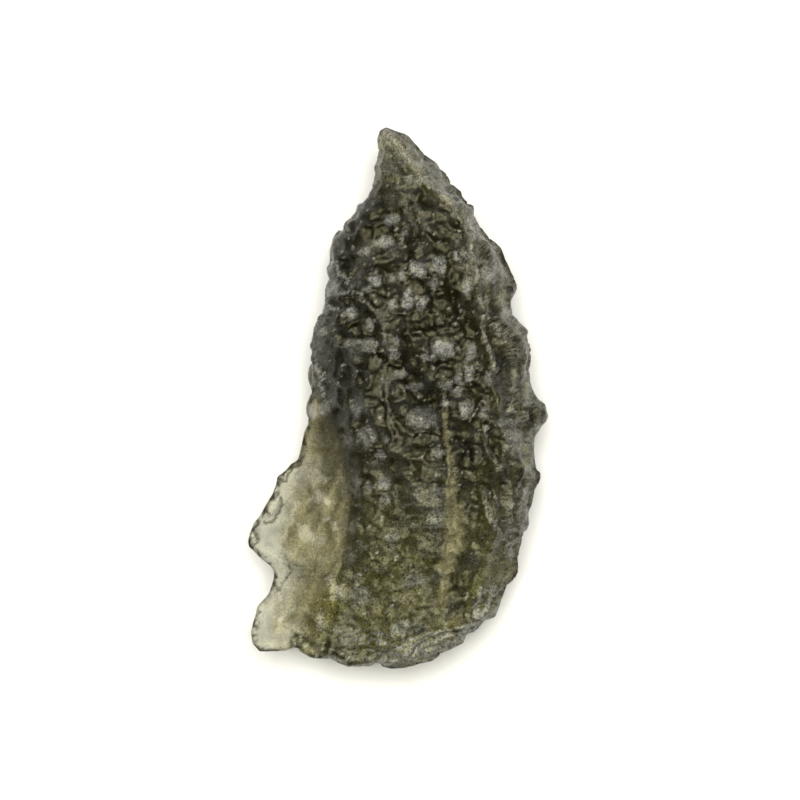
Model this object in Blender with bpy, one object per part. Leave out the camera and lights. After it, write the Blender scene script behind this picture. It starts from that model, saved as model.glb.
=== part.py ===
"""Moldavite: one natural piece of etched olive glass, lying on a small flat spot of its underside.

Metres, +Z up. +Y runs from the foot to the tip, and +Z is the pitted face that the photograph looks down on.
The origin is under the middle of the box, on the surface that the stone rests on.
"""

import bmesh
import bpy
import numpy as np

MM = 0.001
SEED = 11

# The driving dimension, and the length of the stone in the photograph's pixels, which gives its scale.
LENGTH = 30 * MM
LENGTH_PX = 541
PIXEL = LENGTH / LENGTH_PX
CENTRE_PX = (398, 398.5)

# The rim seen from above, in pixels of the photograph: from the tip down the right side, along the foot
# and up the left side.
RIM_PX = [
    (386, 128), (396, 132), (407, 135), (415, 144), (425, 154), (437, 164), (440, 169), (447, 175),
    (451, 184), (462, 193), (463, 197), (469, 203), (474, 207), (474, 216), (480, 227), (489, 239),
    (495, 243), (501, 249), (505, 260), (510, 270), (514, 279), (517, 287), (515, 294), (511, 300),
    (511, 308), (513, 315), (520, 323), (528, 331), (528, 337), (532, 347), (531, 354), (531, 363),
    (529, 370), (530, 382), (534, 393), (539, 401), (545, 406), (548, 416), (546, 422), (540, 428),
    (536, 436), (534, 448), (535, 460), (537, 469), (542, 475), (539, 483), (535, 490), (533, 500),
    (528, 514), (529, 525), (523, 532), (523, 537), (520, 548), (518, 559), (519, 570), (515, 579),
    (507, 586), (504, 594), (501, 603), (498, 613), (495, 617), (485, 621), (476, 632), (467, 635),
    (463, 643), (453, 648), (441, 654), (434, 660), (409, 667), (391, 669), (383, 667), (378, 662),
    (371, 666), (359, 667), (347, 667), (338, 663), (332, 659), (323, 659), (311, 658), (301, 652),
    (297, 647), (287, 650), (277, 651), (260, 651), (253, 643), (251, 633), (253, 623), (256, 614),
    (257, 607), (262, 601), (269, 594), (271, 587), (274, 578), (274, 572), (271, 566), (260, 558),
    (254, 551), (249, 547), (248, 541), (250, 533), (254, 523), (260, 516), (265, 506), (273, 493),
    (276, 484), (277, 477), (286, 470), (291, 464), (298, 460), (300, 452), (302, 443), (304, 433),
    (308, 424), (308, 419), (305, 411), (307, 403), (311, 393), (310, 387), (306, 378), (311, 356),
    (310, 345), (313, 338), (312, 331), (318, 316), (322, 309), (324, 292), (329, 280), (327, 269),
    (330, 263), (329, 256), (331, 248), (332, 241), (338, 230), (342, 229), (344, 222), (348, 218),
    (355, 213), (357, 207), (361, 205), (367, 198), (372, 190), (374, 181), (374, 169), (376, 158),
    (378, 151), (377, 139), (380, 132),
]
# The crest between the pitted face and the fluted right flank: x, y, and height over the rim in mm.
CREST = [
    (386, 131, 0.6), (398, 149, 1.7), (415, 173, 2.4), (438, 196, 2.8), (460, 222, 3.2), (470, 250, 3.5),
    (474, 290, 3.8), (478, 330, 4.2), (488, 370, 4.5), (495, 410, 4.5), (499, 450, 4.2), (499, 500, 3.6),
    (492, 545, 2.8), (478, 590, 2.0), (450, 622, 1.4), (400, 645, 1.0), (345, 650, 0.8), (300, 640, 0.4),
]
# The keel of the underside: x, y, and depth under the rim in mm.
KEEL = [
    (386, 140, 0.7), (394, 170, 1.5), (408, 220, 2.5), (421, 290, 3.3), (428, 350, 3.65), (431, 420, 3.75),
    (429, 480, 3.4), (420, 540, 2.5), (404, 600, 1.7), (384, 640, 0.9),
]
# How far a mark's height spreads around it, and how fast its weight falls off beyond that.
MARK_BLUR = 1 * MM
MARK_FALL = 3
# Thickness of the rim: x, y, and height of the side between the upper and the lower face in mm.
RIM_THICKNESS = [
    (386, 128, 0.6), (376, 155, 1.2), (372, 190, 2.0), (344, 222, 2.9), (327, 270, 3.2), (312, 331, 3.1),
    (308, 378, 2.4), (306, 405, 1.0), (302, 443, 0.3), (274, 490, 0.24), (250, 540, 0.24), (272, 575, 0.24),
    (252, 633, 0.24), (275, 651, 0.3), (310, 656, 0.8), (380, 664, 0.8), (440, 654, 0.9), (498, 610, 0.8),
    (524, 530, 0.8), (537, 470, 0.8), (546, 415, 0.8), (530, 350, 0.9), (514, 290, 0.9), (480, 230, 0.9),
    (447, 175, 0.8),
]
# Low ribs of the face, and sharper ones along the crest, the flank and the foot: points of each in pixels.
LOW_RIBS_PX = [
    [(340, 298), (357, 299), (372, 307), (381, 322), (385, 346)],
    [(382, 366), (388, 393), (390, 424)],
    [(440, 408), (448, 440), (448, 478), (447, 505), (450, 535), (444, 570), (440, 602)],
]
RIBS_PX = [
    [(394, 180), (411, 212), (420, 228), (430, 247), (443, 256)],
    [(385, 133), (402, 157), (425, 186), (446, 200), (455, 214)],
    [(440, 172), (452, 191), (463, 211), (472, 227), (469, 249), (475, 287)],
    [(473, 224), (481, 243), (497, 270), (510, 280)],
    [(473, 259), (495, 271)],
    [(478, 300), (480, 322), (484, 344), (494, 372)],
    [(495, 318), (497, 335), (511, 350), (514, 358)],
    [(505, 310), (509, 331), (520, 339), (531, 345)],
    [(510, 309), (515, 323), (527, 336)],
    [(521, 370), (512, 387), (510, 401), (512, 412)],
    [(526, 364), (529, 380), (537, 400), (546, 407)],
    [(524, 404), (522, 418), (525, 424)],
    [(540, 427), (529, 435), (527, 450)],
    [(484, 425), (482, 437), (491, 457), (497, 466)],
    [(503, 445), (501, 460), (496, 470)],
    [(520, 443), (519, 463), (516, 494)],
    [(537, 470), (527, 488), (519, 502), (519, 522), (523, 530)],
    [(511, 503), (508, 513), (513, 531), (511, 556)],
    [(481, 488), (486, 512), (497, 535), (509, 543)],
    [(491, 500), (494, 523), (502, 535)],
    [(482, 586), (478, 603), (473, 616)],
    [(495, 588), (487, 604), (482, 616)],
    [(404, 652), (430, 634), (458, 626), (476, 620)],
]
# The right edge of the broad smooth scoop at the lower left, where the pitted skin begins.
SCOOP_PX = [
    (309, 372), (318, 402), (333, 436), (344, 470), (349, 505), (346, 540), (341, 570), (336, 600), (322, 655),
]

# The rim's height: it rises toward the tip, drops at the flake and swings up and down along its way.
RIM_HEIGHT = 3.95 * MM
TIP_RISE = 0.3 * MM
TIP_FROM = 4 * MM
TIP_TO = 14 * MM
FLAKE_DROP = 0.4 * MM
RIM_WAVE = 0.5 * MM
RIM_WAVELENGTH = 9 * MM
RIM_WAVE_FROM = 4 * MM
RIM_WAVE_FULL = 0.5 * MM
RIM_UNEVEN = 0.25
# How full the face, the flank and the underside are between the rim and their crest: 1 is a straight slope.
FACE_BULGE = 1.6
FLANK_BULGE = 1.5
KEEL_BULGE = 2.1
# The face rises this share of its height at once, over this width beside the rim.
FACE_SHOULDER = 0.38
SHOULDER_WIDTH = 0.5 * MM
# How far the upright sides are rounded: the share of their height, and the width against that height.
ROUNDED_SHARE = 0.7
ROUNDED_WIDTH = 0.45

# The scoop's floor: its height over the rim at the edge, its slope, and the slope of the wall behind it.
SCOOP_EDGE = 0.1 * MM
SCOOP_SLOPE = 0.12
SCOOP_WALL = 1.5
# Half the width over which the body becomes the flake, and where the pitted skin fades in beside the scoop.
FLAKE_BLEND = 1.5 * MM
SKIN_FROM = -0.2 * MM
SKIN_FULL = 0.6 * MM
# The underside of the flake falls from its thin edge to this depth, over this distance.
FLAKE_DEPTH = 2.2 * MM
FLAKE_BEVEL = 4.2 * MM

# The cups of the pitted face: x, y, half width and half height in pixels.
CUPS_PX = [
    (399, 152, 8, 8), (391, 166, 9, 9), (407, 172, 9, 8), (421, 180, 8, 8), (389, 184, 9, 8), (405, 190, 11, 9),
    (426, 204, 12, 12), (441, 199, 8, 8), (390, 202, 9, 7), (376, 215, 14, 10), (399, 217, 12, 9),
    (352, 226, 12, 9), (457, 222, 11, 12), (418, 228, 9, 10), (438, 236, 11, 11), (402, 235, 9, 8),
    (385, 244, 12, 8), (370, 250, 9, 8), (352, 246, 11, 8), (338, 249, 8, 9), (408, 247, 9, 8),
    (455, 244, 10, 9), (423, 252, 9, 8), (362, 262, 10, 7), (345, 264, 10, 8), (386, 265, 11, 8),
    (404, 262, 11, 9), (418, 271, 11, 10), (438, 268, 12, 10), (456, 261, 9, 9), (335, 277, 8, 10),
    (349, 281, 10, 8), (376, 281, 10, 9), (400, 279, 8, 9), (364, 288, 9, 7), (392, 286, 8, 8),
    (334, 293, 10, 9), (466, 287, 8, 13), (417, 289, 13, 8), (439, 287, 11, 8), (405, 302, 9, 11),
    (392, 306, 9, 8), (424, 305, 10, 9), (448, 307, 15, 15), (379, 303, 9, 9), (352, 315, 13, 11),
    (336, 309, 9, 8), (323, 331, 9, 11), (371, 324, 9, 12), (426, 322, 18, 10), (398, 325, 11, 10),
    (466, 316, 9, 13), (365, 344, 17, 9), (342, 336, 11, 9), (328, 352, 10, 9), (397, 342, 10, 8),
    (396, 358, 12, 8), (418, 342, 10, 8), (439, 348, 14, 11), (469, 350, 10, 10), (456, 333, 9, 9),
    (421, 360, 10, 8), (343, 358, 12, 8), (363, 361, 9, 8), (378, 364, 9, 9), (321, 368, 9, 10),
    (468, 371, 9, 9), (453, 370, 9, 8), (484, 379, 8, 11), (437, 372, 10, 9), (400, 374, 11, 8),
    (417, 380, 10, 9), (345, 377, 12, 9), (363, 380, 9, 9), (327, 389, 9, 11), (381, 386, 9, 11),
    (400, 391, 10, 9), (438, 391, 11, 9), (456, 388, 9, 9), (472, 391, 9, 10), (489, 402, 9, 11),
    (463, 409, 10, 11), (447, 406, 8, 9), (420, 420, 17, 14), (399, 411, 8, 11), (356, 400, 11, 11),
    (340, 411, 9, 11), (362, 420, 9, 10), (380, 410, 8, 11), (480, 418, 9, 12), (497, 424, 9, 10),
    (463, 430, 13, 9), (446, 427, 7, 10), (361, 440, 10, 12), (380, 437, 10, 12), (399, 438, 9, 12),
    (346, 437, 7, 12), (434, 453, 12, 9), (467, 453, 17, 9), (414, 449, 10, 9), (380, 458, 11, 9),
    (361, 463, 10, 11), (397, 463, 9, 9), (495, 450, 10, 13), (474, 471, 13, 8), (454, 472, 9, 8),
    (434, 472, 13, 9), (412, 470, 11, 9), (385, 481, 9, 12), (367, 484, 9, 10), (402, 487, 10, 9),
    (480, 491, 10, 12), (462, 490, 10, 10), (385, 504, 9, 11), (368, 505, 10, 10), (472, 512, 11, 11),
    (497, 481, 9, 15), (489, 514, 9, 12), (405, 505, 12, 9), (431, 493, 16, 10), (452, 512, 9, 15),
    (430, 514, 15, 10), (372, 527, 12, 10), (397, 526, 14, 10), (425, 536, 16, 11), (462, 537, 12, 13),
    (481, 541, 10, 13), (358, 548, 12, 11), (386, 550, 16, 11), (443, 560, 13, 12), (414, 562, 15, 11),
    (468, 565, 12, 12), (360, 575, 13, 12), (390, 580, 16, 12), (430, 588, 15, 12), (455, 592, 12, 12),
    (400, 607, 15, 11), (360, 602, 14, 12), (378, 625, 14, 12), (425, 612, 13, 11), (345, 625, 11, 10),
    (297, 641, 6, 5), (308, 649, 6, 6), (322, 640, 8, 5), (333, 651, 8, 5), (346, 644, 8, 6),
    (318, 652, 6, 4),
]
# The broad shallow hollows and the edge chips of the scoop: x, y, half sizes in pixels, turn in degrees
# against the clock, and depth in mm.
SCOOP_CUPS_PX = [
    (300, 500, 15, 24, -20, 0.13), (325, 470, 12, 30, -10, 0.15), (318, 535, 17, 26, 10, 0.16),
    (283, 532, 14, 17, 30, 0.1), (292, 575, 17, 14, 0, 0.13), (316, 590, 16, 24, -10, 0.16),
    (280, 622, 16, 20, 20, 0.12), (306, 632, 13, 12, 0, 0.12), (318, 425, 8, 22, -15, 0.14),
    (333, 505, 9, 20, 0, 0.12), (290, 471, 12, 6, 28, 0.16), (273, 508, 7, 13, -35, 0.16),
    (254, 538, 5, 8, -20, 0.13), (262, 560, 9, 5, -35, 0.1), (256, 634, 5, 9, 0, 0.1),
    (268, 648, 12, 5, 0, 0.1), (268, 600, 9, 6, 40, 0.1),
]
# The flutes of the right flank and the foot: both ends and half width in pixels.
FLUTES_PX = [
    (446, 182, 463, 206, 7), (468, 212, 481, 240, 7), (487, 247, 500, 274, 8), (478, 251, 485, 283, 8),
    (504, 272, 510, 292, 6), (487, 291, 493, 312, 8), (501, 291, 507, 309, 7), (488, 320, 497, 345, 9),
    (506, 314, 516, 328, 7), (504, 332, 519, 343, 7), (501, 353, 512, 378, 9), (518, 353, 525, 376, 8),
    (497, 372, 503, 392, 8), (509, 387, 519, 408, 9), (525, 382, 534, 402, 8), (507, 407, 514, 424, 9),
    (527, 409, 537, 419, 7), (524, 427, 531, 437, 8), (519, 441, 523, 462, 9), (530, 445, 531, 463, 7),
    (508, 451, 509, 475, 9), (520, 472, 522, 495, 9), (531, 487, 528, 508, 7), (506, 484, 505, 508, 9),
    (518, 501, 515, 525, 8), (503, 517, 499, 540, 9), (514, 532, 510, 552, 8), (499, 550, 493, 575, 9),
    (510, 560, 507, 577, 7), (497, 582, 489, 603, 8), (483, 566, 475, 590, 9), (483, 600, 468, 618, 8),
    (468, 604, 450, 620, 8), (456, 627, 402, 652, 8), (460, 640, 416, 659, 6), (438, 620, 398, 643, 8),
    (374, 649, 347, 656, 7), (396, 659, 408, 660, 6),
]

# Swells are sums of this many waves, whose lengths differ by these factors.
WAVE_COUNT = 9
WAVE_LENGTHS = (0.7, 1.5)

# Depth of a cup against its half size, and the deepest one. The outlines in the tables are those of the
# floors, so that the cups and flutes are this much larger.
CUP_DEPTH = 0.5
DEEPEST_CUP = 0.42 * MM
CUP_GROWTH = 1.12
FLUTE_GROWTH = (1.1, 1.15)
CUP_TURN = 0.15
# How square the dents are, how flat their floors are, and how far their outlines wander.
SQUARENESS = 2.4
FLOOR = 2.2
CHUNK = 4000
WANDER = 0.09 * MM
WANDER_LENGTH = 1.5 * MM
FLUTE_DEPTH = 0.95
# The cups get shallower toward the foot: their depth there, and the pixel rows between which they change.
LOWER_CALM = 0.45
CALM_FROM_PX = 480
CALM_FULL_PX = 560
RIB_HEIGHT = 0.32 * MM
LOW_RIB_HEIGHT = 0.14 * MM
RIB_HALF_WIDTH = 0.17 * MM
LUMP_SIZE = 3.2 * MM
LUMP_HEIGHT = 0.16 * MM
LUMP_WALL = 2.5 * MM
# What the dents keep of their depth at the rim, how wide that calm rim is, how thick a wall has to be for
# them, and the share of a wall that they may take.
RIM_CALM = 0.15
CALM_WIDTH = 0.7 * MM
THINNEST_WALL = 0.2 * MM
FULL_WALL = 0.6 * MM
WALL_SHARE = 0.27
RESTING_FADE = 0.9 * MM
# Random cups: half sizes, number of places tried, and how far they stay from other cups, in half sizes.
FILL_CUPS = (0.36 * MM, 0.6 * MM)
FILL_TRIES = 2500
FILL_GAP = 1.0
UNDER_CUPS = (0.5 * MM, 0.95 * MM)
UNDER_TRIES = 6000
UNDER_GAP = 1.25
DEEPEST_UNDER_CUP = 0.36 * MM
UNDER_FLAKE = 0.5
# A random cup is a little wider than high, or turned across the slope and foreshortened where it is steep.
RANDOM_TURN = 0.4
STEEP = 0.4
FLAT_SQUASH = 0.85
MOST_SQUASH = 0.4
# The dents of the upright sides: spacing, share of the places that have one, depth, and how level the
# surface is, from 0 to 1, where they begin and where they alone are left.
SIDE_PITS = 1.15 * MM
SIDE_PIT_SHARE = 0.95
SIDE_PIT_DEPTH = 0.42 * MM
SIDE_FROM = 0.5
SIDE_FULL = 0.2
# Size of a scattered pit against the spacing: the smallest, and what chance adds.
PIT_SIZE = 0.4
PIT_SIZE_RANGE = 0.5
PIT_DEPTH_RANGE = 0.6
# Large odd numbers that mix a cell's place into a chance number, and the bits kept of it.
MIX_AXES = np.array([73856093, 19349663, 83492791])
MIX_SEED = 2654435761
MIX_FACTOR = 1274126177
MIX_STEP = 974711
MIX_BITS = 0x7FFFFFFF
CHANCES = 65536

# The width over which the direction of the dents turns at a ridge.
RIDGE_WIDTH = 0.55 * MM
# The slab that the stone is shaped from is this many mesh cells thick.
SLAB_LAYERS = 8
VOXEL = 0.19 * MM
TRIANGLES = 9400


def plan(points):
    """Plan positions in metres, from pixels of the photograph."""
    points = np.array(points, float)
    return np.column_stack([points[:, 0] - CENTRE_PX[0], CENTRE_PX[1] - points[:, 1]]) * PIXEL


def smooth(low, high, value):
    """0 below low, 1 above high, and an even S-curve between them."""
    t = np.clip((value - low) / (high - low), 0, 1)
    return t * t * (3 - 2 * t)


def beside(xy, pixels, closed=False):
    """Distance to a line of pixels, and its side, which is over 0 on the left."""
    line = plan(pixels)
    ends = np.roll(line, -1, axis=0) if closed else line[1:]
    best = np.full(len(xy), np.inf)
    side = np.ones(len(xy))
    for a, b in zip(line, ends):
        step = b - a
        offset = xy - a
        t = np.clip(offset @ step / (step @ step), 0, 1)
        gap = np.hypot(offset[:, 0] - t * step[0], offset[:, 1] - t * step[1])
        closer = gap < best - 1e-9
        best = np.where(closer, gap, best)
        side = np.where(closer, np.sign(step[0] * offset[:, 1] - step[1] * offset[:, 0]), side)
    return best, side


def level(xy, marks):
    """The height in metres that the marks (x, y, mm) give a position: the nearest ones count most."""
    gaps = np.linalg.norm(xy[:, None] - plan(marks)[None], axis=2)
    weights = np.hypot(gaps, MARK_BLUR) ** -MARK_FALL
    return weights @ np.array([mark[2] for mark in marks]) / weights.sum(axis=1) * MM


def waves(points, length, rng):
    """Gentle swells: a sum of slow waves in random directions, mostly between -1 and 1."""
    total = np.zeros(len(points))
    for _ in range(WAVE_COUNT):
        direction = rng.normal(size=points.shape[1])
        direction /= np.linalg.norm(direction)
        steps = points @ direction / (length * rng.uniform(*WAVE_LENGTHS))
        total += np.sin(2 * np.pi * (steps + rng.uniform()))
    return total / np.sqrt(WAVE_COUNT)


class Base:
    """The heights of the uncarved stone over plan positions."""

    def __init__(self, xy):
        rng = np.random.default_rng(SEED + 1)
        edge, _ = beside(xy, RIM_PX, closed=True)
        crest, flank = beside(xy, CREST)
        keel, _ = beside(xy, KEEL)
        wall, skin = beside(xy, SCOOP_PX)
        past_scoop = wall * skin
        tip = smooth(TIP_FROM, TIP_TO, xy[:, 1])
        flake = smooth(FLAKE_BLEND, -FLAKE_BLEND, past_scoop)
        rim = RIM_HEIGHT + TIP_RISE * tip - FLAKE_DROP * flake
        rim += RIM_WAVE * waves(xy, RIM_WAVELENGTH, rng) * smooth(RIM_WAVE_FROM, RIM_WAVE_FULL, edge)
        thick = level(xy, RIM_THICKNESS) * (1 + RIM_UNEVEN * waves(xy, RIM_WAVELENGTH / 2, rng))
        share = edge / (edge + crest)
        slope = 1 - (1 - share) ** np.where(flank > 0, FLANK_BULGE, FACE_BULGE)
        shoulder = np.where(flank > 0, 0, FACE_SHOULDER) * (1 - flake)
        slope += shoulder * ((1 - np.exp(-edge / SHOULDER_WIDTH)) - slope)
        dome = rim + level(xy, CREST) * slope + thick / 2
        floor = rim + SCOOP_EDGE + SCOOP_SLOPE * edge + SCOOP_WALL * np.maximum(past_scoop, 0) + thick / 2
        share = edge / (edge + keel)
        under = level(xy, KEEL) * (1 - (1 - share) ** KEEL_BULGE)
        under += (FLAKE_DEPTH * smooth(0, FLAKE_BEVEL, edge) - under) * flake
        inward = np.clip(edge / (ROUNDED_WIDTH * thick), 0, 1)
        rounded = ROUNDED_SHARE * thick / 2 * (1 - np.sqrt(1 - (1 - inward) ** 2))
        self.edge = edge
        self.skin = smooth(SKIN_FROM, SKIN_FULL, past_scoop)
        self.top = np.minimum(dome, floor) - rounded
        self.bottom = rim - under - thick / 2 + rounded

    def height(self, upper):
        """The heights of the top or the underside."""
        return self.top if upper else self.bottom


def slopes(xy, upper):
    """The gradient of the uncarved top or underside."""
    step = 0.15 * MM
    shifts = [(step, 0), (-step, 0), (0, step), (0, -step)]
    east, west, north, south = [Base(xy + shift).height(upper) for shift in shifts]
    return np.column_stack([east - west, north - south]) / (2 * step)


def in_rim(xy):
    """True inside the rim."""
    ring = plan(RIM_PX)
    found = np.zeros(len(xy), bool)
    x, y = xy.T
    for (x0, y0), (x1, y1) in zip(ring, np.roll(ring, -1, axis=0)):
        if y0 != y1:
            found ^= ((y0 > y) != (y1 > y)) & (x < (x1 - x0) * (y - y0) / (y1 - y0) + x0)
    return found


class Dents:
    """Cups of one side: centres, half sizes along and across their own direction, and depths."""

    def __init__(self):
        self.rows = []

    def add(self, x, y, along, across, turn, depth):
        self.rows.append((x, y, along, across, np.cos(turn), np.sin(turn), depth))

    def reach(self, xy):
        """How far each dent's middle is, in half sizes of that dent, which is a rounded rectangle."""
        x, y, along, across, c, s, _ = np.array(self.rows).T
        dx = xy[:, :1] - x
        dy = xy[:, 1:] - y
        u = np.abs(dx * c + dy * s) / along
        v = np.abs(dy * c - dx * s) / across
        return (u**SQUARENESS + v**SQUARENESS) ** (1 / SQUARENESS)

    def carve(self, xy):
        """Depth of the deepest dent over each position, so that two dents meet in a sharp ridge."""
        depth = np.array(self.rows).T[6]
        found = np.zeros(len(xy))
        for start in range(0, len(xy), CHUNK):
            part = slice(start, start + CHUNK)
            found[part] = (depth * np.clip(1 - self.reach(xy[part]) ** FLOOR, 0, 1)).max(axis=1)
        return found

    def fill(self, rng, upper, sizes, deepest, tries, gap):
        """Adds dents at random places that no other dent covers, foreshortened where the side is steep."""
        ring = plan(RIM_PX)
        spots = rng.uniform(ring.min(axis=0), ring.max(axis=0), (tries, 2))
        radii = rng.uniform(*sizes, tries)
        turns = rng.uniform(-RANDOM_TURN, RANDOM_TURN, tries)
        kept = in_rim(spots)
        grade = slopes(spots, upper)
        for spot, radius, turn, slope in zip(spots[kept], radii[kept], turns[kept], grade[kept]):
            steep = np.hypot(*slope)
            if self.rows and self.reach(spot[None]).min() < gap:
                continue
            across = radius * FLAT_SQUASH
            if steep > STEEP:
                across = radius * max(1 / np.hypot(1, steep), MOST_SQUASH)
                turn = np.arctan2(slope[1], slope[0]) + np.pi / 2
            self.add(*spot, radius, across, turn, min(CUP_DEPTH * across, deepest))


def face_dents(rng):
    """The cups and flutes seen in the photograph, and small ones between them."""
    dents = Dents()
    for x, y, wide, high in CUPS_PX:
        (spot,) = plan([(x, y)])
        depth = min(CUP_DEPTH * min(wide, high) * PIXEL, DEEPEST_CUP)
        depth *= LOWER_CALM + (1 - LOWER_CALM) * smooth(CALM_FULL_PX, CALM_FROM_PX, y)
        half_sizes = wide * PIXEL * CUP_GROWTH, high * PIXEL * CUP_GROWTH
        dents.add(*spot, *half_sizes, rng.uniform(-CUP_TURN, CUP_TURN), depth)
    for x0, y0, x1, y1, half in FLUTES_PX:
        start, end = plan([(x0, y0), (x1, y1)])
        run = end - start
        middle = (start + end) / 2
        length = np.hypot(*run) / 2 + half * PIXEL
        turn = np.arctan2(run[1], run[0])
        half_sizes = length * FLUTE_GROWTH[0], half * PIXEL * FLUTE_GROWTH[1]
        dents.add(*middle, *half_sizes, turn, FLUTE_DEPTH * half * PIXEL)
    dents.fill(rng, True, FILL_CUPS, DEEPEST_CUP, FILL_TRIES, FILL_GAP)
    return dents


def scoop_dents():
    """The shallow hollows and edge chips of the smooth scoop."""
    dents = Dents()
    for x, y, wide, high, turn, depth in SCOOP_CUPS_PX:
        (spot,) = plan([(x, y)])
        dents.add(*spot, wide * PIXEL, high * PIXEL, np.radians(turn), depth * MM)
    return dents


def under_dents(rng):
    """The cups of the underside, which the photograph doesn't show."""
    dents = Dents()
    dents.fill(rng, False, UNDER_CUPS, DEEPEST_UNDER_CUP, UNDER_TRIES, UNDER_GAP)
    return dents


def pits(points, spacing, share, seed):
    """Round dents scattered through space: 1 in the middle of a dent, and 0 outside all of them."""
    cells = np.floor(points / spacing).astype(np.int64)
    best = np.zeros(len(points))
    steps = np.arange(-1, 2)
    for step in np.stack(np.meshgrid(steps, steps, steps), axis=-1).reshape(-1, 3):
        cell = cells + step
        mixed = cell @ MIX_AXES + seed * MIX_SEED
        draws = []
        for turn in range(5):
            mixed = ((mixed ^ (mixed >> 13)) * MIX_FACTOR + turn * MIX_STEP) & MIX_BITS
            draws.append((mixed >> 7) % CHANCES / CHANCES)
        middle = (cell + np.column_stack(draws[:3])) * spacing
        radius = spacing * (PIT_SIZE + PIT_SIZE_RANGE * draws[3])
        gap = np.linalg.norm(points - middle, axis=1) / radius
        depth = 1 - PIT_DEPTH_RANGE * (1 - draws[3])
        here = (draws[4] < share) * depth * np.clip(1 - gap**2, 0, 1)
        best = np.maximum(best, here)
    return best


def ribs(xy, lines):
    """Height of these ribs over each position, as a share of the highest."""
    gaps = [beside(xy, line)[0] for line in lines]
    return np.exp(-((np.min(gaps, axis=0) / RIB_HALF_WIDTH) ** 2))


def object_from(name, vertices, faces):
    """An object in the scene with this mesh."""
    mesh = bpy.data.meshes.new(name)
    mesh.from_pydata([tuple(v) for v in vertices], [], faces)
    obj = bpy.data.objects.new(name, mesh)
    bpy.context.scene.collection.objects.link(obj)
    return obj


def positions(obj):
    """The vertex positions of an object's mesh."""
    flat = np.empty(len(obj.data.vertices) * 3)
    obj.data.vertices.foreach_get("co", flat)
    return flat.reshape(-1, 3)


def place(obj, points):
    """Moves the vertices of an object's mesh."""
    obj.data.vertices.foreach_set("co", np.ascontiguousarray(points).ravel())
    obj.data.update()


def normals(obj):
    """The vertex normals of an object's mesh."""
    flat = np.empty(len(obj.data.vertices) * 3, np.float32)
    obj.data.vertex_normals.foreach_get("vector", flat)
    return flat.reshape(-1, 3).astype(float)


def broad_normals(obj, voxel):
    """Vertex normals averaged over the width of a ridge, so that dents on its two sides don't cross."""
    found = normals(obj)
    ends = np.empty(len(obj.data.edges) * 2, np.int32)
    obj.data.edges.foreach_get("vertices", ends)
    here = np.concatenate([ends[0::2], ends[1::2]])
    there = np.concatenate([ends[1::2], ends[0::2]])
    count = len(found)
    for _ in range(round((RIDGE_WIDTH / voxel) ** 2)):
        sums = [np.bincount(here, found[there, axis], count) for axis in range(3)]
        found += np.column_stack(sums)
        found /= np.linalg.norm(found, axis=1)[:, None]
    return found


def bake(obj):
    """Replaces an object's mesh by the result of its modifiers."""
    evaluated = obj.evaluated_get(bpy.context.evaluated_depsgraph_get())
    mesh = bpy.data.meshes.new_from_object(evaluated)
    obj.modifiers.clear()
    obj.data = mesh


def slab(name, voxel):
    """The rim's outline as an evenly meshed slab, and each vertex's share of the way up."""
    thick = SLAB_LAYERS * voxel
    ring = plan(RIM_PX)
    count = len(ring)
    low = np.column_stack([ring, np.zeros(count)])
    high = np.column_stack([ring, np.full(count, thick)])
    walls = [(i, i + count, (i + 1) % count + count, (i + 1) % count) for i in range(count)]
    caps = [tuple(range(count)), tuple(reversed(range(count, 2 * count)))]
    obj = object_from(name, np.vstack([low, high]), walls + caps)
    remesh = obj.modifiers.new("Even mesh", "REMESH")
    remesh.mode = "VOXEL"
    remesh.voxel_size = voxel
    bake(obj)
    return obj, np.clip(positions(obj)[:, 2] / thick, 0, 1)


def carve(obj, share, voxel):
    """Cuts the cups and flutes into the body, never through more than a part of the wall."""
    rng = np.random.default_rng(SEED)
    points = positions(obj)
    outward = broad_normals(obj, voxel)
    xy = points[:, :2]
    base = Base(xy)
    upper = share > 0.5
    bent = xy + WANDER * np.column_stack([waves(xy, WANDER_LENGTH, rng), waves(xy, WANDER_LENGTH, rng)])
    pitted = face_dents(rng).carve(bent)
    pitted -= RIB_HEIGHT * ribs(bent, RIBS_PX) + LOW_RIB_HEIGHT * ribs(bent, LOW_RIBS_PX)
    face = pitted * base.skin + scoop_dents().carve(bent) * (1 - base.skin)
    under = under_dents(rng).carve(bent) * (UNDER_FLAKE + (1 - UNDER_FLAKE) * base.skin)
    swell = waves(points, LUMP_SIZE, rng) * LUMP_HEIGHT * smooth(0, CALM_WIDTH, base.edge)
    resting = smooth(0, RESTING_FADE, points[:, 2])
    wall = base.top - base.bottom
    upright = smooth(SIDE_FROM, SIDE_FULL, np.abs(outward[:, 2])) * smooth(THINNEST_WALL, FULL_WALL, wall)
    side = SIDE_PIT_DEPTH * pits(points, SIDE_PITS, SIDE_PIT_SHARE, SEED)
    calm = RIM_CALM + (1 - RIM_CALM) * smooth(0, CALM_WIDTH, base.edge)
    depth = np.where(upper, face, under) * (1 - upright) * calm + side * upright
    depth = np.minimum(depth, WALL_SHARE * wall)
    depth -= swell * smooth(0, LUMP_WALL, wall)
    place(obj, points - outward * (depth * resting)[:, None])


def thin_out(obj, triangles):
    """Fewer triangles, keeping the ridges."""
    decimate = obj.modifiers.new("Fewer faces", "DECIMATE")
    decimate.ratio = triangles / sum(len(p.vertices) - 2 for p in obj.data.polygons)
    bake(obj)


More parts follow.
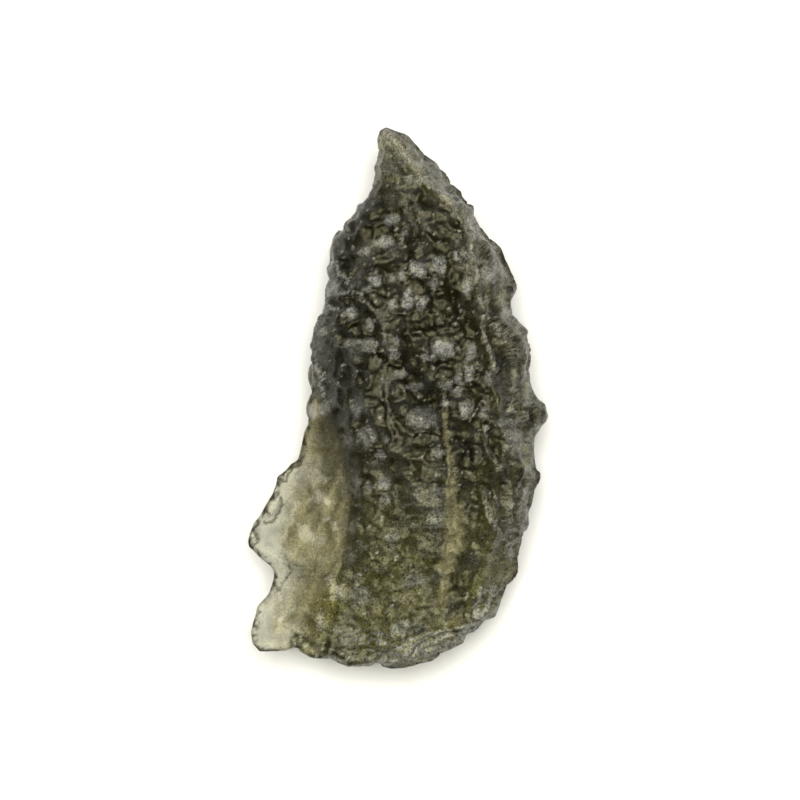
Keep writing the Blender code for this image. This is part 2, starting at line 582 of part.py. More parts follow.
def cut_flat_spot(obj):
    """Cuts the underside level at z = 0 and closes the cut with one flat face."""
    mesh = bmesh.new()
    mesh.from_mesh(obj.data)
    everything = mesh.verts[:] + mesh.edges[:] + mesh.faces[:]
    cut = bmesh.ops.bisect_plane(
        mesh, geom=everything, dist=1e-7, plane_co=(0, 0, 0), plane_no=(0, 0, 1), clear_inner=True
    )
    rim = [e for e in cut["geom_cut"] if isinstance(e, bmesh.types.BMEdge)]
    bmesh.ops.edgenet_fill(mesh, edges=rim)
    bmesh.ops.recalc_face_normals(mesh, faces=mesh.faces[:])
    mesh.to_mesh(obj.data)
    mesh.free()


def centre(obj):
    """Brings the stone to its full length, with the middle of its box over the origin."""
    points = positions(obj)
    low = points.min(axis=0)
    high = points.max(axis=0)
    middle = [(low[0] + high[0]) / 2, (low[1] + high[1]) / 2, low[2]]
    place(obj, (points - middle) * LENGTH / (high[1] - low[1]))


def olive_glass():
    """The material: clear olive glass."""
    material = bpy.data.materials.new("olive glass")
    material.use_nodes = True
    shader = material.node_tree.nodes["Principled BSDF"]
    shader.inputs["Base Color"].default_value = (0.045, 0.047, 0.016, 1)
    shader.inputs["Roughness"].default_value = 0.2
    shader.inputs["IOR"].default_value = 1.49
    shader.inputs["Transmission Weight"].default_value = 0.5
    return material


def moldavite():
    """The whole stone."""
    stone, share = slab("moldavite", VOXEL)
    points = positions(stone)
    base = Base(points[:, :2])
    points[:, 2] = base.bottom + (base.top - base.bottom) * share
    place(stone, points)
    carve(stone, share, VOXEL)
    thin_out(stone, TRIANGLES)
    cut_flat_spot(stone)
    centre(stone)
    stone.data.materials.append(olive_glass())
    return stone


for old in list(bpy.data.objects):
    bpy.data.objects.remove(old)
moldavite()
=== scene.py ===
"""The moldavite in fine detail, on a pale floor in soft light, seen from above as in the photograph."""

import bmesh
import bpy
import numpy as np
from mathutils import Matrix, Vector, noise


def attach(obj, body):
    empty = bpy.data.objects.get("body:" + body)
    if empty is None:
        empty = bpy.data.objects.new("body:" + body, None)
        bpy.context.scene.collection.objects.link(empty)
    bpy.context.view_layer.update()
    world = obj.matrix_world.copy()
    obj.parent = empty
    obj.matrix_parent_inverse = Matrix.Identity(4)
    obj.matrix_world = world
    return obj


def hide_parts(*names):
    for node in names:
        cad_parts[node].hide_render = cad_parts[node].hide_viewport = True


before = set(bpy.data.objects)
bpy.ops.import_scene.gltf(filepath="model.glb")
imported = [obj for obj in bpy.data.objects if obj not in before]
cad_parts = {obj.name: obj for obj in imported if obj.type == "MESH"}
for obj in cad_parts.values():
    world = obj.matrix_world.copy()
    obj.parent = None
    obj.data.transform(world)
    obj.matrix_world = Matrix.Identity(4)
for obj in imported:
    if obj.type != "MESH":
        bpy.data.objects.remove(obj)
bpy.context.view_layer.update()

MM = 0.001
SEED = 11

# The driving dimension, and the same length in the photograph's pixels, which gives the scale.
LENGTH = 30 * MM
LENGTH_PX = 541
PIXEL = LENGTH / LENGTH_PX
CENTRE_PX = (398, 398.5)

# The rim in pixels of the photograph: from the tip down the right side, along the foot and up the left.
RIM_PX = [
    (386, 128), (396, 132), (407, 135), (415, 144), (425, 154), (437, 164), (440, 169), (447, 175),
    (451, 184), (462, 193), (463, 197), (469, 203), (474, 207), (474, 216), (480, 227), (489, 239),
    (495, 243), (501, 249), (505, 260), (510, 270), (514, 279), (517, 287), (515, 294), (511, 300),
    (511, 308), (513, 315), (520, 323), (528, 331), (528, 337), (532, 347), (531, 354), (531, 363),
    (529, 370), (530, 382), (534, 393), (539, 401), (545, 406), (548, 416), (546, 422), (540, 428),
    (536, 436), (534, 448), (535, 460), (537, 469), (542, 475), (539, 483), (535, 490), (533, 500),
    (528, 514), (529, 525), (523, 532), (523, 537), (520, 548), (518, 559), (519, 570), (515, 579),
    (507, 586), (504, 594), (501, 603), (498, 613), (495, 617), (485, 621), (476, 632), (467, 635),
    (463, 643), (453, 648), (441, 654), (434, 660), (409, 667), (391, 669), (383, 667), (378, 662),
    (371, 666), (359, 667), (347, 667), (338, 663), (332, 659), (323, 659), (311, 658), (301, 652),
    (297, 647), (287, 650), (277, 651), (260, 651), (253, 643), (251, 633), (253, 623), (256, 614),
    (257, 607), (262, 601), (269, 594), (271, 587), (274, 578), (274, 572), (271, 566), (260, 558),
    (254, 551), (249, 547), (248, 541), (250, 533), (254, 523), (260, 516), (265, 506), (273, 493),
    (276, 484), (277, 477), (286, 470), (291, 464), (298, 460), (300, 452), (302, 443), (304, 433),
    (308, 424), (308, 419), (305, 411), (307, 403), (311, 393), (310, 387), (306, 378), (311, 356),
    (310, 345), (313, 338), (312, 331), (318, 316), (322, 309), (324, 292), (329, 280), (327, 269),
    (330, 263), (329, 256), (331, 248), (332, 241), (338, 230), (342, 229), (344, 222), (348, 218),
    (355, 213), (357, 207), (361, 205), (367, 198), (372, 190), (374, 181), (374, 169), (376, 158),
    (378, 151), (377, 139), (380, 132),
]
# The crest between the pitted face and the fluted right flank: x, y, and height over the rim in mm.
CREST = [
    (386, 131, 0.6), (398, 149, 1.7), (415, 173, 2.4), (438, 196, 2.8), (460, 222, 3.2), (470, 250, 3.5),
    (474, 290, 3.8), (478, 330, 4.2), (488, 370, 4.5), (495, 410, 4.5), (499, 450, 4.2), (499, 500, 3.6),
    (492, 545, 2.8), (478, 590, 2.0), (450, 622, 1.4), (400, 645, 1.0), (345, 650, 0.8), (300, 640, 0.4),
]
# The keel of the underside: x, y, and depth under the rim in mm.
KEEL = [
    (386, 140, 0.7), (394, 170, 1.5), (408, 220, 2.5), (421, 290, 3.3), (428, 350, 3.65), (431, 420, 3.75),
    (429, 480, 3.4), (420, 540, 2.5), (404, 600, 1.7), (384, 640, 0.9),
]
# How far a mark's height spreads around it, and how fast its weight falls off beyond that.
MARK_BLUR = 1 * MM
MARK_FALL = 3
# Thickness of the rim: x, y, and height of the side between the upper and the lower face in mm.
RIM_THICKNESS = [
    (386, 128, 0.6), (376, 155, 1.2), (372, 190, 2.0), (344, 222, 2.9), (327, 270, 3.2), (312, 331, 3.1),
    (308, 378, 2.4), (306, 405, 1.0), (302, 443, 0.3), (274, 490, 0.24), (250, 540, 0.24), (272, 575, 0.24),
    (252, 633, 0.24), (275, 651, 0.3), (310, 656, 0.8), (380, 664, 0.8), (440, 654, 0.9), (498, 610, 0.8),
    (524, 530, 0.8), (537, 470, 0.8), (546, 415, 0.8), (530, 350, 0.9), (514, 290, 0.9), (480, 230, 0.9),
    (447, 175, 0.8),
]
# Low ribs of the face, and sharper ones along the crest, the flank and the foot: points in pixels.
LOW_RIBS_PX = [
    [(394, 180), (411, 212), (420, 228), (430, 247), (443, 256)],
    [(340, 298), (357, 299), (372, 307), (381, 322), (385, 346)],
    [(382, 366), (388, 393), (390, 424)],
    [(440, 408), (448, 440), (448, 478), (447, 505), (450, 535), (444, 570), (440, 602)],
]
RIBS_PX = [
    [(385, 133), (402, 157), (425, 186), (446, 200), (455, 214)],
    [(440, 172), (452, 191), (463, 211), (472, 227), (469, 249), (475, 287)],
    [(473, 224), (481, 243), (497, 270), (510, 280)],
    [(473, 259), (495, 271)],
    [(478, 300), (480, 322), (484, 344), (494, 372)],
    [(495, 318), (497, 335), (511, 350), (514, 358)],
    [(505, 310), (509, 331), (520, 339), (531, 345)],
    [(510, 309), (515, 323), (527, 336)],
    [(521, 370), (512, 387), (510, 401), (512, 412)],
    [(526, 364), (529, 380), (537, 400), (546, 407)],
    [(524, 404), (522, 418), (525, 424)],
    [(540, 427), (529, 435), (527, 450)],
    [(484, 425), (482, 437), (491, 457), (497, 466)],
    [(503, 445), (501, 460), (496, 470)],
    [(520, 443), (519, 463), (516, 494)],
    [(537, 470), (527, 488), (519, 502), (519, 522), (523, 530)],
    [(511, 503), (508, 513), (513, 531), (511, 556)],
    [(481, 488), (486, 512), (497, 535), (509, 543)],
    [(491, 500), (494, 523), (502, 535)],
    [(482, 586), (478, 603), (473, 616)],
    [(495, 588), (487, 604), (482, 616)],
    [(404, 652), (430, 634), (458, 626), (476, 620)],
]
# The right edge of the broad smooth scoop at the lower left, where the pitted skin begins.
SCOOP_PX = [
    (309, 372), (318, 402), (333, 436), (344, 470), (349, 505), (346, 540), (341, 570), (336, 600),
    (322, 655),
]

# The rim's height: it rises toward the tip, drops at the flake and swings up and down along its way.
RIM_HEIGHT = 3.95 * MM
TIP_RISE = 0.3 * MM
TIP_FROM = 4 * MM
TIP_TO = 14 * MM
FLAKE_DROP = 0.4 * MM
RIM_WAVE = 0.5 * MM
RIM_WAVELENGTH = 9 * MM
RIM_WAVE_FROM = 4 * MM
RIM_WAVE_FULL = 0.5 * MM
RIM_UNEVEN = 0.25
# How full the face, flank and underside are between the rim and their crest: 1 is a straight slope.
FACE_BULGE = 1.6
FLANK_BULGE = 1.5
KEEL_BULGE = 2.1
# The face rises this share of its height at once, over this width beside the rim.
FACE_SHOULDER = 0.38
SHOULDER_WIDTH = 0.5 * MM
# How far the upright sides are rounded: the share of their height, and the width against that height.
ROUNDED_SHARE = 0.7
ROUNDED_WIDTH = 0.45

# The scoop's floor: its height over the rim at the edge, its slope, and the slope of the wall behind it.
SCOOP_EDGE = 0.1 * MM
SCOOP_SLOPE = 0.12
SCOOP_WALL = 1.5
# Half the width over which the body becomes the flake, and where the pitted skin begins beside the scoop.
FLAKE_BLEND = 1.5 * MM
SKIN_FROM = -0.2 * MM
SKIN_FULL = 0.6 * MM
# The underside of the flake falls from its thin edge to this depth, over this distance.
FLAKE_DEPTH = 2.2 * MM
FLAKE_BEVEL = 4.2 * MM

# The cups of the pitted face: x, y, half width and half height in pixels.
CUPS_PX = [
    (399, 152, 8, 8), (391, 166, 9, 9), (407, 172, 9, 8), (421, 180, 8, 8), (389, 184, 9, 8),
    (405, 190, 11, 9), (426, 204, 12, 12), (441, 199, 8, 8), (390, 202, 9, 7), (376, 215, 14, 10),
    (399, 217, 12, 9),
    (352, 226, 12, 9), (457, 222, 11, 12), (418, 228, 9, 10), (438, 236, 11, 11), (402, 235, 9, 8),
    (385, 244, 12, 8), (370, 250, 9, 8), (352, 246, 11, 8), (338, 249, 8, 9), (408, 247, 9, 8),
    (455, 244, 10, 9), (423, 252, 9, 8), (362, 262, 10, 7), (345, 264, 10, 8), (386, 265, 11, 8),
    (404, 262, 11, 9), (418, 271, 11, 10), (438, 268, 12, 10), (456, 261, 9, 9), (335, 277, 8, 10),
    (349, 281, 10, 8), (376, 281, 10, 9), (400, 279, 8, 9), (364, 288, 9, 7), (392, 286, 8, 8),
    (334, 293, 10, 9), (466, 287, 8, 13), (417, 289, 13, 8), (439, 287, 11, 8), (405, 302, 9, 11),
    (392, 306, 9, 8), (424, 305, 10, 9), (448, 307, 15, 15), (379, 303, 9, 9), (352, 315, 13, 11),
    (336, 309, 9, 8), (323, 331, 9, 11), (371, 324, 9, 12), (426, 322, 18, 10), (398, 325, 11, 10),
    (466, 316, 9, 13), (365, 344, 17, 9), (342, 336, 11, 9), (328, 352, 10, 9), (397, 342, 10, 8),
    (396, 358, 12, 8), (418, 342, 10, 8), (439, 348, 14, 11), (469, 350, 10, 10), (456, 333, 9, 9),
    (421, 360, 10, 8), (343, 358, 12, 8), (363, 361, 9, 8), (378, 364, 9, 9), (321, 368, 9, 10),
    (468, 371, 9, 9), (453, 370, 9, 8), (484, 379, 8, 11), (437, 372, 10, 9), (400, 374, 11, 8),
    (417, 380, 10, 9), (345, 377, 12, 9), (363, 380, 9, 9), (327, 389, 9, 11), (381, 386, 9, 11),
    (400, 391, 10, 9), (438, 391, 11, 9), (456, 388, 9, 9), (472, 391, 9, 10), (489, 402, 9, 11),
    (463, 409, 10, 11), (447, 406, 8, 9), (420, 420, 17, 14), (399, 411, 8, 11), (356, 400, 11, 11),
    (340, 411, 9, 11), (362, 420, 9, 10), (380, 410, 8, 11), (480, 418, 9, 12), (497, 424, 9, 10),
    (463, 430, 13, 9), (446, 427, 7, 10), (361, 440, 10, 12), (380, 437, 10, 12), (399, 438, 9, 12),
    (346, 437, 7, 12), (434, 453, 12, 9), (467, 453, 17, 9), (414, 449, 10, 9), (380, 458, 11, 9),
    (361, 463, 10, 11), (397, 463, 9, 9), (495, 450, 10, 13), (474, 471, 13, 8), (454, 472, 9, 8),
    (434, 472, 13, 9), (412, 470, 11, 9), (385, 481, 9, 12), (367, 484, 9, 10), (402, 487, 10, 9),
    (480, 491, 10, 12), (462, 490, 10, 10), (385, 504, 9, 11), (368, 505, 10, 10), (472, 512, 11, 11),
    (497, 481, 9, 15), (489, 514, 9, 12), (405, 505, 12, 9), (431, 493, 16, 10), (452, 512, 9, 15),
    (430, 514, 15, 10), (372, 527, 12, 10), (397, 526, 14, 10), (425, 536, 16, 11), (462, 537, 12, 13),
    (481, 541, 10, 13), (358, 548, 12, 11), (386, 550, 16, 11), (443, 560, 13, 12), (414, 562, 15, 11),
    (468, 565, 12, 12), (360, 575, 13, 12), (390, 580, 16, 12), (430, 588, 15, 12), (455, 592, 12, 12),
    (400, 607, 15, 11), (360, 602, 14, 12), (378, 625, 14, 12), (425, 612, 13, 11), (345, 625, 11, 10),
    (297, 641, 6, 5), (308, 649, 6, 6), (322, 640, 8, 5), (333, 651, 8, 5), (346, 644, 8, 6),
    (318, 652, 6, 4),
]
# The broad shallow hollows and the edge chips of the scoop: x, y, half sizes in pixels, turn in degrees
# against the clock, and depth in mm.
SCOOP_CUPS_PX = [
    (300, 500, 15, 24, -20, 0.13), (325, 470, 12, 30, -10, 0.15), (318, 535, 17, 26, 10, 0.16),
    (283, 532, 14, 17, 30, 0.1), (292, 575, 17, 14, 0, 0.13), (316, 590, 16, 24, -10, 0.16),
    (280, 622, 16, 20, 20, 0.12), (306, 632, 13, 12, 0, 0.12), (318, 425, 8, 22, -15, 0.14),
    (333, 505, 9, 20, 0, 0.12), (290, 471, 12, 6, 28, 0.16), (273, 508, 7, 13, -35, 0.16),
    (254, 538, 5, 8, -20, 0.13), (262, 560, 9, 5, -35, 0.1), (256, 634, 5, 9, 0, 0.1),
    (268, 648, 12, 5, 0, 0.1), (268, 600, 9, 6, 40, 0.1),
]
# The flutes of the right flank and the foot: both ends and half width in pixels.
FLUTES_PX = [
    (446, 182, 463, 206, 7), (468, 212, 481, 240, 7), (487, 247, 500, 274, 8), (478, 251, 485, 283, 8),
    (504, 272, 510, 292, 6), (487, 291, 493, 312, 8), (501, 291, 507, 309, 7), (488, 320, 497, 345, 9),
    (506, 314, 516, 328, 7), (504, 332, 519, 343, 7), (501, 353, 512, 378, 9), (518, 353, 525, 376, 8),
    (497, 372, 503, 392, 8), (509, 387, 519, 408, 9), (525, 382, 534, 402, 8), (507, 407, 514, 424, 9),
    (527, 409, 537, 419, 7), (524, 427, 531, 437, 8), (519, 441, 523, 462, 9), (530, 445, 531, 463, 7),
    (508, 451, 509, 475, 9), (520, 472, 522, 495, 9), (531, 487, 528, 508, 7), (506, 484, 505, 508, 9),
    (518, 501, 515, 525, 8), (503, 517, 499, 540, 9), (514, 532, 510, 552, 8), (499, 550, 493, 575, 9),
    (510, 560, 507, 577, 7), (497, 582, 489, 603, 8), (483, 566, 475, 590, 9), (483, 600, 468, 618, 8),
    (468, 604, 450, 620, 8), (456, 627, 402, 652, 8), (460, 640, 416, 659, 6), (438, 620, 398, 643, 8),
    (374, 649, 347, 656, 7), (396, 659, 408, 660, 6),
]

# Swells are sums of this many waves, whose lengths differ by these factors.
WAVE_COUNT = 9
WAVE_LENGTHS = (0.7, 1.5)

# Depth of a cup against its half size, and the deepest one. The tables give the floors of the cups and
# flutes, which are this much larger themselves.
CUP_DEPTH = 0.5
DEEPEST_CUP = 0.42 * MM
CUP_GROWTH = 1.12
FLUTE_GROWTH = (1.1, 1.15)
CUP_TURN = 0.15
# How square the dents are, how flat their floors are, and how far their outlines wander.
SQUARENESS = 2.4
FLOOR = 2.2
CHUNK = 4000
WANDER = 0.09 * MM
WANDER_LENGTH = 1.5 * MM
FLUTE_DEPTH = 1.25
# The cups get shallower toward the foot: their depth there, and between which pixel rows.
LOWER_CALM = 0.45
CALM_FROM_PX = 480
CALM_FULL_PX = 560
RIB_HEIGHT = 0.4 * MM
LOW_RIB_HEIGHT = 0.14 * MM
RIB_HALF_WIDTH = 0.17 * MM
LUMP_SIZE = 3.2 * MM
LUMP_HEIGHT = 0.16 * MM
LUMP_WALL = 2.5 * MM
# What the dents keep of their depth at the rim, how wide that calm rim is, how thick a wall they need, and
# the share of it that they may take.
RIM_CALM = 0.15
CALM_WIDTH = 0.7 * MM
THINNEST_WALL = 0.2 * MM
FULL_WALL = 0.6 * MM
WALL_SHARE = 0.27
RESTING_FADE = 0.9 * MM
# Random cups: half sizes, number of places tried, and how far they stay from other cups, in half sizes.
FILL_CUPS = (0.36 * MM, 0.6 * MM)
FILL_TRIES = 2500
FILL_GAP = 1.0
UNDER_CUPS = (0.5 * MM, 0.95 * MM)
UNDER_TRIES = 6000
UNDER_GAP = 1.25
DEEPEST_UNDER_CUP = 0.36 * MM
UNDER_FLAKE = 0.5
# A random cup is a little wider than high, or foreshortened across the slope where it is steep.
RANDOM_TURN = 0.4
STEEP = 0.4
FLAT_SQUASH = 0.85
MOST_SQUASH = 0.4
# The dents of the upright sides: spacing, share of the places that have one, depth, and how level the
# surface is where they begin and where they alone are left.
SIDE_PITS = 1.15 * MM
SIDE_PIT_SHARE = 0.95
SIDE_PIT_DEPTH = 0.42 * MM
SIDE_FROM = 0.5
SIDE_FULL = 0.2
# Size of a scattered pit against the spacing: the smallest, and what chance adds.
PIT_SIZE = 0.4
PIT_SIZE_RANGE = 0.5
PIT_DEPTH_RANGE = 0.6
# Large odd numbers that mix a cell's place into a chance number, and the bits kept of it.
MIX_AXES = np.array([73856093, 19349663, 83492791])
MIX_SEED = 2654435761
MIX_FACTOR = 1274126177
MIX_STEP = 974711
MIX_BITS = 0x7FFFFFFF
CHANCES = 65536

# The width over which the direction of the dents turns at a ridge.
RIDGE_WIDTH = 0.55 * MM
# The size of the mesh's cells, and how many of them the slab is thick that the stone is shaped from.
VOXEL = 0.09 * MM
SLAB_LAYERS = 8
# A slope is found from the heights this far to each side.
SLOPE_STEP = 0.15 * MM

# What the glass takes from the light that passes through it.
GLASS_COLOUR = (0.66, 0.64, 0.22, 1)
GLASS_DENSITY = 600


def plan(points):
    """Plan positions in metres, from pixels of the photograph."""
    points = np.array(points, float)
    return np.column_stack([points[:, 0] - CENTRE_PX[0], CENTRE_PX[1] - points[:, 1]]) * PIXEL


def smooth(low, high, value):
    """0 below low, 1 above high, and an even S-curve between them."""
    t = np.clip((value - low) / (high - low), 0, 1)
    return t * t * (3 - 2 * t)


def beside(xy, pixels, closed=False):
    """Distance to a line of pixels, and its side, which is over 0 on the left."""
    line = plan(pixels)
    ends = np.roll(line, -1, axis=0) if closed else line[1:]
    best = np.full(len(xy), np.inf)
    side = np.ones(len(xy))
    for a, b in zip(line, ends):
        step = b - a
        offset = xy - a
        t = np.clip(offset @ step / (step @ step), 0, 1)
        gap = np.hypot(offset[:, 0] - t * step[0], offset[:, 1] - t * step[1])
        closer = gap < best - 1e-9
        best = np.where(closer, gap, best)
        side = np.where(closer, np.sign(step[0] * offset[:, 1] - step[1] * offset[:, 0]), side)
    return best, side


def level(xy, marks):
    """The height in metres that the marks (x, y, mm) give a position: the nearest ones count most."""
    gaps = np.linalg.norm(xy[:, None] - plan(marks)[None], axis=2)
    weights = np.hypot(gaps, MARK_BLUR) ** -MARK_FALL
    return weights @ np.array([mark[2] for mark in marks]) / weights.sum(axis=1) * MM


def waves(points, length, rng):
    """Gentle swells: a sum of slow waves in random directions, mostly between -1 and 1."""
    total = np.zeros(len(points))
    for _ in range(WAVE_COUNT):
        direction = rng.normal(size=points.shape[1])
        direction /= np.linalg.norm(direction)
        steps = points @ direction / (length * rng.uniform(*WAVE_LENGTHS))
        total += np.sin(2 * np.pi * (steps + rng.uniform()))
    return total / np.sqrt(WAVE_COUNT)


class Base:
    """The heights of the uncarved stone over plan positions."""

    def __init__(self, xy):
        rng = np.random.default_rng(SEED + 1)
        edge, _ = beside(xy, RIM_PX, closed=True)
        crest, flank = beside(xy, CREST)
        keel, _ = beside(xy, KEEL)
        wall, skin = beside(xy, SCOOP_PX)
        past_scoop = wall * skin
        tip = smooth(TIP_FROM, TIP_TO, xy[:, 1])
        flake = smooth(FLAKE_BLEND, -FLAKE_BLEND, past_scoop)
        rim = RIM_HEIGHT + TIP_RISE * tip - FLAKE_DROP * flake
        rim += RIM_WAVE * waves(xy, RIM_WAVELENGTH, rng) * smooth(RIM_WAVE_FROM, RIM_WAVE_FULL, edge)
        thick = level(xy, RIM_THICKNESS) * (1 + RIM_UNEVEN * waves(xy, RIM_WAVELENGTH / 2, rng))
        share = edge / (edge + crest)
        slope = 1 - (1 - share) ** np.where(flank > 0, FLANK_BULGE, FACE_BULGE)
        shoulder = np.where(flank > 0, 0, FACE_SHOULDER) * (1 - flake)
        slope += shoulder * ((1 - np.exp(-edge / SHOULDER_WIDTH)) - slope)
        body = rim + level(xy, CREST) * slope + thick / 2
        scoop = rim + SCOOP_EDGE + SCOOP_SLOPE * edge + SCOOP_WALL * np.maximum(past_scoop, 0) + thick / 2
        share = edge / (edge + keel)
        under = level(xy, KEEL) * (1 - (1 - share) ** KEEL_BULGE)
        under += (FLAKE_DEPTH * smooth(0, FLAKE_BEVEL, edge) - under) * flake
        inward = np.clip(edge / (ROUNDED_WIDTH * thick), 0, 1)
        rounded = ROUNDED_SHARE * thick / 2 * (1 - np.sqrt(1 - (1 - inward) ** 2))
        self.edge = edge
        self.skin = smooth(SKIN_FROM, SKIN_FULL, past_scoop)
        self.top = np.minimum(body, scoop) - rounded
        self.bottom = rim - under - thick / 2 + rounded


def slopes(xy, upper):
    """The gradient of the uncarved top or underside."""
    shifts = SLOPE_STEP * np.array([(1, 0), (-1, 0), (0, 1), (0, -1)])
    bases = [Base(xy + shift) for shift in shifts]
    east, west, north, south = [base.top if upper else base.bottom for base in bases]
    return np.column_stack([east - west, north - south]) / (2 * SLOPE_STEP)


def in_rim(xy):
    """True inside the rim."""
    ring = plan(RIM_PX)
    found = np.zeros(len(xy), bool)
    x, y = xy.T
    for (x0, y0), (x1, y1) in zip(ring, np.roll(ring, -1, axis=0)):
        if y0 != y1:
            found ^= ((y0 > y) != (y1 > y)) & (x < (x1 - x0) * (y - y0) / (y1 - y0) + x0)
    return found


class Dents:
    """Cups of one side: centres, half sizes along and across their own direction, and depths."""

    def __init__(self):
        self.rows = []

    def add(self, x, y, along, across, turn, depth):
        self.rows.append((x, y, along, across, np.cos(turn), np.sin(turn), depth))

    def reach(self, xy):
        """How far each dent's middle is, in half sizes of that dent, which is a rounded rectangle."""
        x, y, along, across, c, s, _ = np.array(self.rows).T
        dx = xy[:, :1] - x
        dy = xy[:, 1:] - y
        u = np.abs(dx * c + dy * s) / along
        v = np.abs(dy * c - dx * s) / across
        return (u**SQUARENESS + v**SQUARENESS) ** (1 / SQUARENESS)

    def carve(self, xy):
        """Depth of the deepest dent over each position, so that two dents meet in a sharp ridge."""
        depth = np.array(self.rows).T[6]
        found = np.zeros(len(xy))
        for start in range(0, len(xy), CHUNK):
            part = slice(start, start + CHUNK)
            found[part] = (depth * np.clip(1 - self.reach(xy[part]) ** FLOOR, 0, 1)).max(axis=1)
        return found

    def fill(self, rng, upper, sizes, deepest, tries, gap):
        """Adds dents at random places that no other dent covers, foreshortened where the side is steep."""
        ring = plan(RIM_PX)
        spots = rng.uniform(ring.min(axis=0), ring.max(axis=0), (tries, 2))
        radii = rng.uniform(*sizes, tries)
        turns = rng.uniform(-RANDOM_TURN, RANDOM_TURN, tries)
        kept = in_rim(spots)
        grade = slopes(spots, upper)
        for spot, radius, turn, slope in zip(spots[kept], radii[kept], turns[kept], grade[kept]):
            steep = np.hypot(*slope)
            if self.rows and self.reach(spot[None]).min() < gap:
                continue
            across = radius * FLAT_SQUASH
            if steep > STEEP:
                across = radius * max(1 / np.hypot(1, steep), MOST_SQUASH)
                turn = np.arctan2(slope[1], slope[0]) + np.pi / 2
            self.add(*spot, radius, across, turn, min(CUP_DEPTH * across, deepest))


def face_dents(rng):
    """The cups and flutes seen in the photograph, and small ones between them."""
    dents = Dents()
    for x, y, wide, high in CUPS_PX:
        (spot,) = plan([(x, y)])
        depth = min(CUP_DEPTH * min(wide, high) * PIXEL, DEEPEST_CUP)
        depth *= LOWER_CALM + (1 - LOWER_CALM) * smooth(CALM_FULL_PX, CALM_FROM_PX, y)
        half_sizes = wide * PIXEL * CUP_GROWTH, high * PIXEL * CUP_GROWTH
        dents.add(*spot, *half_sizes, rng.uniform(-CUP_TURN, CUP_TURN), depth)
    for x0, y0, x1, y1, half in FLUTES_PX:
        start, end = plan([(x0, y0), (x1, y1)])
        run = end - start
        middle = (start + end) / 2
        length = np.hypot(*run) / 2 + half * PIXEL
        turn = np.arctan2(run[1], run[0])
        half_sizes = length * FLUTE_GROWTH[0], half * PIXEL * FLUTE_GROWTH[1]
        dents.add(*middle, *half_sizes, turn, FLUTE_DEPTH * half * PIXEL)
    dents.fill(rng, True, FILL_CUPS, DEEPEST_CUP, FILL_TRIES, FILL_GAP)
    return dents


def scoop_dents():
    """The shallow hollows and edge chips of the smooth scoop."""
    dents = Dents()
    for x, y, wide, high, turn, depth in SCOOP_CUPS_PX:
        (spot,) = plan([(x, y)])
        dents.add(*spot, wide * PIXEL, high * PIXEL, np.radians(turn), depth * MM)
    return dents


def under_dents(rng):
    """The cups of the underside, which the photograph doesn't show."""
    dents = Dents()
    dents.fill(rng, False, UNDER_CUPS, DEEPEST_UNDER_CUP, UNDER_TRIES, UNDER_GAP)
    return dents


def pits(points, spacing, share, seed):
    """Round dents scattered through space: 1 in the middle of a dent, and 0 outside all of them."""
    cells = np.floor(points / spacing).astype(np.int64)
    best = np.zeros(len(points))
    steps = np.arange(-1, 2)
    for step in np.stack(np.meshgrid(steps, steps, steps), axis=-1).reshape(-1, 3):
        cell = cells + step
        mixed = cell @ MIX_AXES + seed * MIX_SEED
        draws = []
        for turn in range(5):
            mixed = ((mixed ^ (mixed >> 13)) * MIX_FACTOR + turn * MIX_STEP) & MIX_BITS
            draws.append((mixed >> 7) % CHANCES / CHANCES)
        middle = (cell + np.column_stack(draws[:3])) * spacing
        radius = spacing * (PIT_SIZE + PIT_SIZE_RANGE * draws[3])
        gap = np.linalg.norm(points - middle, axis=1) / radius
        depth = 1 - PIT_DEPTH_RANGE * (1 - draws[3])
        here = (draws[4] < share) * depth * np.clip(1 - gap**2, 0, 1)
        best = np.maximum(best, here)
    return best


def ribs(xy, lines):
    """Height of these ribs over each position, as a share of the highest."""
    gaps = [beside(xy, line)[0] for line in lines]
    return np.exp(-((np.min(gaps, axis=0) / RIB_HALF_WIDTH) ** 2))


def added(name, data):
    """An object in the scene with this mesh, light or camera."""
    obj = bpy.data.objects.new(name, data)
    bpy.context.scene.collection.objects.link(obj)
    return obj


def object_from(name, vertices, faces):
    """An object in the scene with a mesh of these vertices and faces."""
    mesh = bpy.data.meshes.new(name)
    mesh.from_pydata([tuple(v) for v in vertices], [], faces)
    return added(name, mesh)


def positions(obj):
    """The vertex positions of an object's mesh."""
    flat = np.empty(len(obj.data.vertices) * 3)
    obj.data.vertices.foreach_get("co", flat)
    return flat.reshape(-1, 3)


def place(obj, points):
    """Moves the vertices of an object's mesh."""
    obj.data.vertices.foreach_set("co", np.ascontiguousarray(points).ravel())
    obj.data.update()


def normals(obj):
    """The vertex normals of an object's mesh."""
    flat = np.empty(len(obj.data.vertices) * 3, np.float32)
    obj.data.vertex_normals.foreach_get("vector", flat)
    return flat.reshape(-1, 3).astype(float)


def broad_normals(obj, voxel):
    """Vertex normals averaged over the width of a ridge, so that dents on its two sides don't cross."""
    found = normals(obj)
    ends = np.empty(len(obj.data.edges) * 2, np.int32)
    obj.data.edges.foreach_get("vertices", ends)
    here = np.concatenate([ends[0::2], ends[1::2]])
    there = np.concatenate([ends[1::2], ends[0::2]])
    count = len(found)
    for _ in range(round((RIDGE_WIDTH / voxel) ** 2)):
        sums = [np.bincount(here, found[there, axis], count) for axis in range(3)]
        found += np.column_stack(sums)
        found /= np.linalg.norm(found, axis=1)[:, None]
    return found


def bake(obj):
    """Replaces an object's mesh by the result of its modifiers."""
    evaluated = obj.evaluated_get(bpy.context.evaluated_depsgraph_get())
    mesh = bpy.data.meshes.new_from_object(evaluated)
    obj.modifiers.clear()
    obj.data = mesh


